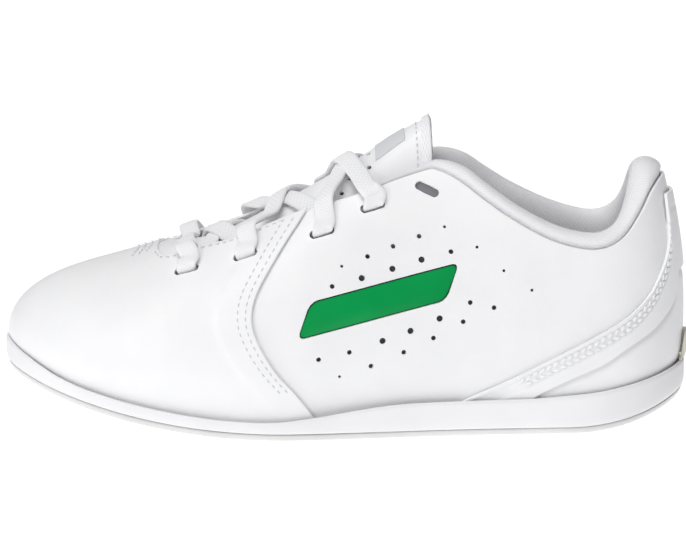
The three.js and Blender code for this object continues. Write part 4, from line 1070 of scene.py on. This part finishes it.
def add_collar():
    first, last = collar_column(COLLAR_FRONT, INNER), collar_column(COLLAR_FRONT, OUTER)
    sections_of = {}

    def place(u, v):
        s = mix(first, last, u)
        if s not in sections_of:
            x = design_point(s, top_share(s)).x
            full = smooth_step((x - COLLAR_FRONT - 4) / (COLLAR_FULL_FROM - COLLAR_FRONT - 4))
            sections_of.clear()
            heel = smooth_step((x - 84) / 16)
            ends_of = zip(COLLAR_THIN, COLLAR_FULL, COLLAR_HEEL)
            outline = [Vector(a).lerp(Vector(b), full).lerp(Vector(c), heel).to_3d() for a, b, c in ends_of]
            ends = min(u, 1 - u) / 0.012
            size = math.sqrt(1 - (1 - clamp(ends, 0.04)) ** 2)
            middle = sum(outline, Vector()) / len(outline)
            sections_of[s] = [middle + (q - middle) * size for q in outline]
        outline = sections_of[s]
        count = len(outline)
        spot = (v % 1) * count
        i = int(spot) % count
        curve = SmoothCurve([outline[(i + k) % count] for k in (-1, 0, 1, 2)])
        q = curve.at((1 + spot - int(spot)) / 3)
        return collar_place(s, q.x, q.y)

    piece = new_piece("collar_lining", closed_grid(260, 52, place, (380, 62)), finish=COLLAR_KNIT)
    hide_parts("collar_lining", "collar_foam")


# ---- Tongue -----------------------------------------------------------------------------------------

tongue_middle = height_line(
    [(-70, 49.5), (-60, 53), (-50, 57.5), (-40, 62.5), (-18, 74), (5, 87.4), (17, 95.3), (29, 102)]
)
TONGUE_ENDS = (-68, 28.5)
tongue_wing = height_line([(0, 7), (0.5, 8), (0.8, 7), (1, 3)])
EDGE_Q = 2 / 3
TONGUE_HOLE = 1.5  # across a perforation
LABEL_SPAN = (0.815, 0.915)  # shares of the way along the tongue
LABEL_REACH = 0.34  # share of the way across it, to either side
STITCHED_SPAN = (0.45, 0.953)
STITCHED_REACH = 0.9
TONGUE_DEPTH = 5.0
tongue_rows = {}


def tongue_row(u):
    key = round(u * 1e6)
    if key not in tongue_rows:
        x = mix(*TONGUE_ENDS, u)
        inside = clamp(x, THROAT_FRONT, THROAT_END)
        middle = Vector((x, 0, tongue_middle(x)))
        sides = []
        for side in (OUTER, INNER):
            s, t = on_ridge(x, side * throat_half[side](inside))
            edge = upper_point(s, t, TONGUE_TOP)
            wing = upper_point(s, share_down(s, t, tongue_wing(u), 12), TONGUE_TOP)
            drop = mix(0.25, 0.13, smooth_step((u - 0.78) / 0.2))
            shoulder = Vector(((edge.x + x) / 2, edge.y * 0.58, mix(middle.z, edge.z, drop)))
            sides.append([wing, edge, shoulder])
        tongue_rows[key] = SmoothCurve(sides[0] + [middle] + sides[1][::-1])
    return tongue_rows[key]


TONGUE_FINE = 160  # the tongue's rows are worked out at this many places, and blended between them


def on_tongue(u, q):
    spot = clamp(u) * TONGUE_FINE
    i = min(int(spot), TONGUE_FINE - 1)
    place = (clamp(q, -1, 1) + 1) / 2
    return tongue_row(i / TONGUE_FINE).at(place).lerp(tongue_row((i + 1) / TONGUE_FINE).at(place), spot - i)


def along_tongue(u, q):
    return (on_tongue(min(u + 0.01, 1), q) - on_tongue(max(u - 0.01, 0), q)).normalized()


def tongue_normal(u, q):
    across = on_tongue(u, min(q + 0.02, 1)) - on_tongue(u, max(q - 0.02, -1))
    return along_tongue(u, q).cross(across).normalized()


def tongue_point(u, q, lift):
    return on_tongue(u, q) + tongue_normal(u, q) * lift


def round_off(value, power):
    return math.copysign(abs(value) ** power, value)


def tongue_cutters():
    shape = bmesh.new()
    for i in range(4):
        for j in range(4):
            u = 0.69 + 0.034 * i
            q = -0.48 + 0.24 * j + 0.12 * (i % 2)
            radius = TONGUE_HOLE / 2
            made = bmesh.ops.create_cone(
                shape, cap_ends=True, segments=12, radius1=radius, radius2=radius, depth=CUTTER_DEPTH
            )
            turn = tongue_normal(u, q).to_track_quat("Z", "Y").to_matrix().to_4x4()
            whole = TO_ROW @ Matrix.Translation(tongue_point(u, q, 0)) @ turn
            bmesh.ops.transform(shape, verts=made["verts"], matrix=whole)
    return new_piece("cutter", shape, body=None)


def add_tongue_shell():
    def face(u, v):
        q = 0.97 * (2 * v - 1)
        edge = min((1 - abs(q)) * 18, (1 - u) * 95, 2.5) / 2.5
        return tongue_point(0.974 * u, q, -0.7 * (1 - math.sqrt(clamp(edge))))

    piece = new_piece("tongue_shell", grid(150, 60, face, (115, 60)), body="tongue", finish=SMOOTH_LEATHER)
    thicken(piece, 1.0, 0.25)
    cut(piece, tongue_cutters())
    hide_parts("tongue_shell")

    def backing(u, v):
        return tongue_point(mix(0.66, 0.84, u), mix(-0.58, 0.5, v), -1.03)

    # Painted shade: a dark sheet behind the tongue's perforations.
    piece = new_piece("tongue_perforation_backing", grid(12, 12, backing), body="tongue", finish=SHADE_BACKING)
    thicken(piece, 0.1, 0)


def add_tongue_pad():
    def pad(u, v):
        angle = 2 * math.pi * v
        end = math.sqrt(1 - (1 - clamp((1 - u) / 0.03, 0.03)) ** 2)
        start = math.sqrt(1 - (1 - clamp(u / 0.02, 0.03)) ** 2)
        swell = mix(0.6, 1.15, smooth_step((u - 0.45) / 0.4))
        half = TONGUE_DEPTH / 2 * swell * end * start
        q = round_off(math.cos(angle), 0.55)
        lift = round_off(math.sin(angle), 0.6) * half
        rim_lift = 1.9 * smooth_step((u - 0.955) / 0.025)
        return tongue_point(u, q, lift - 1.2 - half + rim_lift)

    piece = new_piece("tongue_pad", closed_grid(150, 72, pad, (115, 120)), body="tongue", finish=TONGUE_KNIT)
    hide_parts("tongue_foam", "tongue_lining")


def add_tongue_label():
    def label(u, v):
        return tongue_point(mix(*LABEL_SPAN, u), mix(-LABEL_REACH, LABEL_REACH, v), 0.42)

    piece = new_piece("tongue_patch", grid(16, 20, label), body="tongue", finish=LABEL_RUBBER)
    thicken(piece, 0.4, 0.2)
    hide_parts("tongue_patch")


def add_tongue_stitches():
    """One row: up the outer edge, over the top and down the inner edge."""
    shape = bmesh.new()
    up = [(mix(*STITCHED_SPAN, i / 60), -STITCHED_REACH) for i in range(61)]
    over = [(STITCHED_SPAN[1], STITCHED_REACH * (i / 20 - 1)) for i in range(1, 41)]
    down = [(u, STITCHED_REACH) for u, _ in reversed(up[:-1])]
    row = [(tongue_point(u, q, 0), tongue_normal(u, q)) for u, q in up + over + down]
    stitch_row(shape, evenly(row, FINE_STITCH), TONGUE_STITCH)
    piece = new_piece("tongue_edge_stitching", shape, body="tongue", finish=SHADE_GREY_THREAD)


def add_gusset():
    """The cloth that joins the vamp's throat to the tongue's base."""

    def place(u, v):
        x = mix(THROAT_FRONT - 2.2, -40, u)
        y = mix(-1, 1, v) * (throat_half[OUTER](max(x, -57)) + 1.4)
        drop = smooth_step((u - 0.15) / 0.55)
        s, t = on_ridge(x, clamp(y, -16, 16))
        under = upper_point(s, t, 0.2)
        along = (x - TONGUE_ENDS[0]) / (TONGUE_ENDS[1] - TONGUE_ENDS[0])
        lift = mix(2.7, 0.3, smooth_step((u - 0.45) / 0.55))
        on_top = tongue_point(along, EDGE_Q * y / throat_half[OUTER](max(x, -57)), lift)
        return under.lerp(on_top, drop)

    piece = new_piece("throat_gusset", grid(20, 30, place, (12, 32)), finish=SMOOTH_LEATHER)
    thicken(piece, 0.4, 0)


# ---- Lace -------------------------------------------------------------------------------------------

HALF_LACE = LACE_THICKNESS / 2
LACE_FULL = 1.6  # the lace's thickness where its woven tube is open
LACE_OUT = 0.6 + HALF_LACE
LACE_ON_TONGUE = LACE_ROOM + HALF_LACE
LACE_OVER = LACE_ON_TONGUE + LACE_THICKNESS + 0.5


def laced_holes():
    found = []
    for k, (x, z, tilt) in enumerate(EYELETS[:4]):
        sides = {}
        for side in (OUTER, INNER):
            s, t = locate(x, z, side)
            sides[side] = (place_of(s, side), t)
        u = (x - TONGUE_ENDS[0]) / (TONGUE_ENDS[1] - TONGUE_ENDS[0])
        found.append((u, sides, VAMP_FACE if k < 2 else 0, tilt))
    return found


LACED = laced_holes()


def by_hole(k, side, to_edge, distance):
    s, t = LACED[k][1][side]
    if to_edge >= 0:
        share = 2 * t - share_down(s, t, to_edge, 12)
    else:
        share = share_down(s, t, -to_edge, 12)
    return upper_point(s, share, distance), along_surface(s, share, LACED[k][3])


def through_hole(k, side, inward, runs_down):
    face = LACED[k][2]
    away = -1 if runs_down else 1
    run = [
        by_hole(k, side, 4, face + LACE_OUT),
        by_hole(k, side, 1.5, face + LACE_OUT),
        by_hole(k, side, 0.3, face + 0.5),
        by_hole(k, side, 0, (face + INSIDE[0]) / 2),
        by_hole(k, side, 0.3 * away, INSIDE[0] - 0.6),
        by_hole(k, side, 1.5 * away, LACE_INSIDE),
        by_hole(k, side, 4 * away, LACE_INSIDE),
    ]
    return run if inward else run[::-1]


def over_edge(k, side, shift):
    u, _, face, _ = LACED[k]
    x = mix(*TONGUE_ENDS, u + shift)
    s, t = on_ridge(x, side * (throat_half[side](x) + 0.5))
    return upper_point(s, t, face + LACE_OUT + 1.3), along_tongue(u, EDGE_Q * side)


def lace_on_tongue(u, q, lift):
    return tongue_point(u, q, lift), along_tongue(u, q)


def crossing(a, b, side, over_first, over_last, lift_middle):
    """The way from one pair of eyelets to the next, over or under the throat's edge at each end."""
    start, stop = LACED[a][0], LACED[b][0]

    def end(k, share, end_side, over, shift):
        if over:
            return over_edge(k, end_side, (stop - start) * shift)
        return lace_on_tongue(mix(start, stop, share), 0.69 * end_side, LACE_ON_TONGUE + 0.1)

    def slope(share, end_side, over):
        lift = LACE_OVER + 0.9 if over else LACE_ON_TONGUE + 0.4
        return lace_on_tongue(mix(start, stop, share), 0.4 * end_side, lift)

    return [
        end(a, 0.08, side, over_first, 0.06),
        slope(0.28, side, over_first),
        lace_on_tongue(mix(start, stop, 0.5), 0, lift_middle),
        slope(0.72, -side, over_last),
        end(b, 0.92, -side, over_last, -0.06),
    ]


def half_lace(side, lift):
    return [
        lace_on_tongue(LACED[0][0], 0.4 * side, LACE_OVER + 1),
        over_edge(0, side, 0),
        *through_hole(0, side, True, False),
        *crossing(0, 1, side, False, False, lift),
        *through_hole(1, -side, False, False),
        *crossing(1, 2, -side, True, False, lift),
        *through_hole(2, side, False, False),
        *crossing(2, 3, side, True, True, lift),
        *through_hole(3, -side, True, True),
        by_hole(3, -side, -10, LACE_INSIDE),
    ]


def ribbon(name, route, steps, finish):
    """A flat woven band along waypoints, each a place and the way that the band's width lies."""
    curve = SmoothCurve([place for place, _ in route])
    spans = len(route) - 1
    columns = spans * steps
    path = [curve.at(i / columns) for i in range(columns + 1)]
    length = sum((b - a).length for a, b in zip(path, path[1:]))

    def place(u, v):
        way = curve.along(clamp(u, 2e-4, 1 - 2e-4))
        spot = clamp(u) * spans
        k = min(int(spot), spans - 1)
        wide = route[k][1].lerp(route[k + 1][1], smooth_step(spot - k))
        wide = (wide - way * wide.dot(way)).normalized()
        angle = 2 * math.pi * v
        across = round_off(math.cos(angle), 0.5) * LACE_WIDTH / 2
        thick = round_off(math.sin(angle), 0.75) * LACE_FULL / 2
        return curve.at(u) + wide * across + way.cross(wide) * thick

    shape = closed_grid(columns, 20, place, (length, 15))
    return new_piece(name, shape, finish=finish), path, length


# The loose ends, tucked into the shoe. The last number turns the band from the wall to the floor.
TAILS = {
    "lateral": (OUTER, [
        (5.6, -23.1, 63.6, 0), (4.9, -23.8, 61.4, 0), (3.2, -25.2, 54, 0), (3.2, -26.9, 45, 0),
        (8.2, -27.6, 36.4, 0), (17, -27.4, 29.6, 0.1), (28, -26, 24.4, 0.25), (40, -23.4, 20.6, 0.5),
        (51, -20.4, 17.8, 0.75), (61, -17.4, 16.5, 1), (70, -14.8, 16.9, 1), (76, -13.3, 17.3, 1)]),
    "medial": (INNER, [
        (5.4, 18.9, 63.7, 0), (4.7, 19.3, 61.5, 0), (3, 20, 54, 0), (3, 20.9, 45, 0), (7.8, 21.2, 36.4, 0),
        (16.5, 20.8, 29.6, 0.1), (27, 19.4, 24.4, 0.25), (38.5, 17, 20.6, 0.5), (49.5, 14, 17.6, 0.75),
        (59.5, 11, 16, 1), (68.5, 8.6, 16.2, 1), (74.5, 7.2, 16.5, 1)]),
}
AGLET_LENGTH = 18
AGLET_RADIUS = 1.8
AGLET_PROFILE = height_line(
    [(0, 0.35), (0.03, 0.92), (0.1, 1), (0.5, 0.9), (0.9, 0.84), (0.97, 0.7), (1, 0.2)]
)


def add_tail(name, side, points):
    places = [Vector(p[:3]) for p in points]
    curve = SmoothCurve(places)
    route = []
    for i, place in enumerate(places):
        turn = points[i][3] * math.pi / 2
        back = Vector((0, side * math.cos(turn), -math.sin(turn)))
        route.append((place, curve.along(i / (len(places) - 1)).cross(back)))
    tail, path, length = ribbon(f"lace_tail_{name}", route, 6, LACE_WEAVE)
    heading = curve.along(1 - 2e-4)
    heading = Vector((heading.x, heading.y, 0)).normalized()
    beside = heading.cross(Vector((0, 0, 1)))
    start = places[-1] + heading * GAP + Vector((0, 0, AGLET_RADIUS - HALF_LACE))

    def film(u, v):
        angle = 2 * math.pi * v
        radius = AGLET_RADIUS * AGLET_PROFILE(u)
        flat = math.cos(angle) * beside + math.sin(angle) * Vector((0, 0, 1))
        return start + heading * AGLET_LENGTH * u + flat * radius

    tip = new_piece(f"aglet_{name}", closed_grid(24, 20, film, (AGLET_LENGTH, 11)), finish=AGLET_FILM)
    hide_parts(f"lace_tail_{name}")
    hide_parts(f"aglet_{name}")


def add_laces():
    for name, (side, points) in TAILS.items():
        add_tail(name, side, points)
    route = half_lace(OUTER, LACE_ON_TONGUE)[::-1]
    route += [lace_on_tongue(LACED[0][0], 0, LACE_OVER + 0.6), *half_lace(INNER, LACE_OVER)]
    piece, _, _ = ribbon("shoelace", route, 6, LACE_WEAVE)
    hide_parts("shoelace")


# ---- Sole -------------------------------------------------------------------------------------------


def outsole_top(x):
    return ground(x) + OUTSOLE


def sweep(profile, columns, size):
    """A closed solid whose section at each column is a closed row of (outset, share, height)."""

    def place(u, v):
        k = round(v * len(profile)) % len(profile)
        outset, share, height = profile[k]
        return sole_point(u, outset, share, lambda x, _: height(x))

    shape = grid(columns, len(profile), place, size)
    merge(shape)
    bmesh.ops.dissolve_degenerate(shape, edges=shape.edges, dist=1e-7)
    bmesh.ops.recalc_face_normals(shape, faces=shape.faces)
    return shape


def add_midsole():
    def between(share):
        return lambda x: mix(outsole_top(x) + GAP, rim(x), share)

    wall = [
        (2.05, 0.0), (2.3, 0.05), (2.5, 0.16), (2.58, 0.3),
        (2.6, 0.45), (2.58, 0.6), (2.54, 0.74), (2.5, 0.86),
    ]
    profile = [
        (0.1, 0, footbed), (0.1, 0.5, footbed), (0.1, 0.9, footbed), (0.1, 1, footbed),
        (0.6, 1, lambda x: mix(footbed(x), rim(x), 0.6)), (1.0, 1, lambda x: rim(x) - 0.3),
        (1.4, 1, rim), (2.1, 1, lambda x: rim(x) - 0.02), (2.42, 1, lambda x: rim(x) - 0.25),
        *[(outset, 1, between(share)) for outset, share in reversed(wall)],
        (1.6, 1, between(-0.02)), (1.2, 0.9, between(0)), (1.2, 0.5, between(0)), (1.2, 0, between(0)),
    ]
    piece = new_piece("midsole", sweep(profile, 240, (520, 40)), finish=MIDSOLE_RUBBER)
    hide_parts("midsole")


TREAD_PITCH = 11
PIVOT = (-52, 1)  # turning circle under the ball
PIVOT_RADIUS = 19


def tread(x, y):
    """How deep the tread is cut at a place of the sole."""
    far = math.hypot(x - PIVOT[0], y - PIVOT[1])
    if far < PIVOT_RADIUS:
        wave = 0.5 + 0.5 * math.cos(2 * math.pi * far / 4.75)
        return 0.9 * smooth_step((wave - 0.45) / 0.3) if far > 3 else 0
    edge = smooth_step((PIVOT_RADIUS + 2.5 - far) / 1.2)
    zigzag = x + 1.6 * abs(((y / 7) % 2) - 1) * 2
    wave = 0.5 + 0.5 * math.cos(2 * math.pi * zigzag / (TREAD_PITCH / 2))
    return max(0.9 * smooth_step((wave - 0.5) / 0.25), 0.9 * edge)


def add_outsole():
    shares = [i / 60 for i in range(60)]
    count = len(shares)
    rounding = [(0.4, 0.0), (0.9, 0.22), (1.3, 0.62), (1.55, 1.1), (1.7, 1.6), (1.75, OUTSOLE)]

    def place(u, v):
        k = round(v * (count + len(rounding) + 2))
        if k < count:
            p = sole_point(u, 0.2, shares[k] * 0.985, lambda x, _: ground(x))
            fade = smooth_step((0.93 - shares[k]) / 0.04)
            p.z += tread(p.x, p.y) * fade
            return p
        if k < count + len(rounding):
            outset, lift = rounding[k - count]
            return sole_point(u, outset, 1, lambda x, _: ground(x) + lift)
        share = 0.5 if k == count + len(rounding) else 0
        return sole_point(u, 1.0, share, lambda x, _: outsole_top(x))

    shape = grid(360, count + len(rounding) + 1, place, (520, 100))
    merge(shape)
    bmesh.ops.dissolve_degenerate(shape, edges=shape.edges, dist=1e-7)
    close_holes(shape)
    piece = new_piece("outsole", shape, finish=OUTSOLE_RUBBER)
    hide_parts("outsole")


LAST_INSET = INSIDE[0] - TUCK - 0.6


def add_sockliner():
    def low(x):
        return footbed(x) + 2 * GAP + 1.0

    def cupped(share):
        return lambda x: low(x) + 3.2 + share**4

    outset = LAST_INSET - 0.3
    profile = [(outset, share, cupped(share)) for share in (0, 0.2, 0.4, 0.6, 0.8, 0.95)]
    profile += [
        (outset - 0.2, 1, lambda x: low(x) + 4.2), (outset, 1, lambda x: low(x) + 3.6),
        (outset, 1, lambda x: low(x) + 0.5), (outset - 0.4, 1, low), (outset, 0.5, low), (outset, 0, low),
    ]
    piece = new_piece("sockliner", sweep(profile, 160, (480, 60)), finish=INSOLE_KNIT)
    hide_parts("sockliner")


def add_heel_tab():
    reach = 1 / 48
    face = BAND_FACE + GAP + 1.2

    def place(u, v):
        s = mix(-reach, reach, u)
        round_end = math.sqrt(max(0, 1 - (2 * u - 1) ** 6))
        z = mix(rim(112) + 0.9, mix(20, 30, round_end), v)
        t = crossing_share(s, lambda p: p.z > z)
        return upper_point(s, t, face)

    piece = new_piece("heel_tab", grid(28, 14, place, (16, 10)), finish=TAB_RUBBER)
    thicken(piece, 1.1, 0.35)
    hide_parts("heel_tab")


# ---- Finishes of the pieces that stay as they were designed ------------------------------------------


def finish_hidden_layers():
    # bar_backing takes the dark painted-shade finish, so that the gap round the colour bar looks shaded.
    kept = {
        "toe_puff": STIFFENER_FELT, "heel_counter": STIFFENER_FELT, "eyestay_lateral": STIFFENER_FELT,
        "eyestay_medial": STIFFENER_FELT, "bar_backing": SHADE_BACKING, "strobel_board": BOARD_FIBRE,
    }
    for name, finish in kept.items():
        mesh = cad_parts[name].data
        mesh.materials.clear()
        mesh.materials.append(finish)


# ---- Room -------------------------------------------------------------------------------------------


TENT_MIDDLE = 0.47
TENT_ENDS = 0.03
TENT_SHIFT = 0.33  # how far the bright part leans to the toe
FLOOR_GLOW = 0.92


def add_floor():
    shape = bmesh.new()
    bmesh.ops.create_grid(shape, x_segments=1, y_segments=1, size=6)
    made, tree, shader = new_finish("white_paper", 0.6, Emission_Strength=FLOOR_GLOW)
    grain = add_node(tree, "ShaderNodeTexNoise", {"Scale": 3})
    tint(tree, shader, grain.outputs["Fac"], "#98989a", "#9c9c9d")
    floor = new_piece("floor", shape, body=None, finish=made)


def add_light(name, place, size, power, target=(0, 0, 0.04)):
    lamp = bpy.data.objects.new(name, bpy.data.lights.new(name, "AREA"))
    lamp.data.size = size
    lamp.data.energy = power
    lamp.location = place
    lamp.rotation_euler = (Vector(target) - Vector(place)).to_track_quat("-Z", "Y").to_euler()
    bpy.context.scene.collection.objects.link(lamp)


def add_room():
    """A white tent that is open and darker to the left and right, so that the ends round off."""
    add_floor()
    world = bpy.data.worlds.new("soft_room")
    world.use_nodes = True
    tree = world.node_tree
    way = add_node(tree, "ShaderNodeTexCoord").outputs["Generated"]
    parts = add_node(tree, "ShaderNodeSeparateXYZ", links={"Vector": way})
    shifted = add_node(tree, "ShaderNodeMath", {1: TENT_SHIFT}, {0: parts.outputs["X"]}, operation="ADD")
    aside = add_node(tree, "ShaderNodeMath", links={"Value": shifted.outputs["Value"]}, operation="ABSOLUTE")
    glow = {"From Min": 0.35, "From Max": 0.95, "To Min": TENT_MIDDLE, "To Max": TENT_ENDS}
    fade = add_node(
        tree, "ShaderNodeMapRange", glow, {"Value": aside.outputs["Value"]}, interpolation_type="SMOOTHSTEP"
    )
    tree.links.new(fade.outputs["Result"], tree.nodes["Background"].inputs["Strength"])
    tree.nodes["Background"].inputs["Color"].default_value = linear("#ffffff")
    bpy.context.scene.world = world
    bpy.context.scene.view_settings.view_transform = "Standard"
    add_light("overhead", (-0.12, -0.45, 0.87), 0.5, 3.3)
    add_light("front_left", (-0.8, -0.9, 0.5), 0.25, 1.75)
    add_light("back_top", (0.2, 0.8, 0.8), 0.6, 1.2)


add_laces()
add_vamp()
add_quarter("quarter_lateral", OUTER)
add_quarter("quarter_medial", INNER)
add_backing()
add_linings()
add_heel_cup()
add_heel_band()
add_heel_stitches()
add_seam_stitches()
add_throat_stitches()
add_colour_bar()
add_collar()
add_tongue_shell()
add_tongue_pad()
add_tongue_label()
add_tongue_stitches()
add_gusset()
add_midsole()
add_outsole()
add_sockliner()
add_heel_tab()
finish_hidden_layers()
add_room()
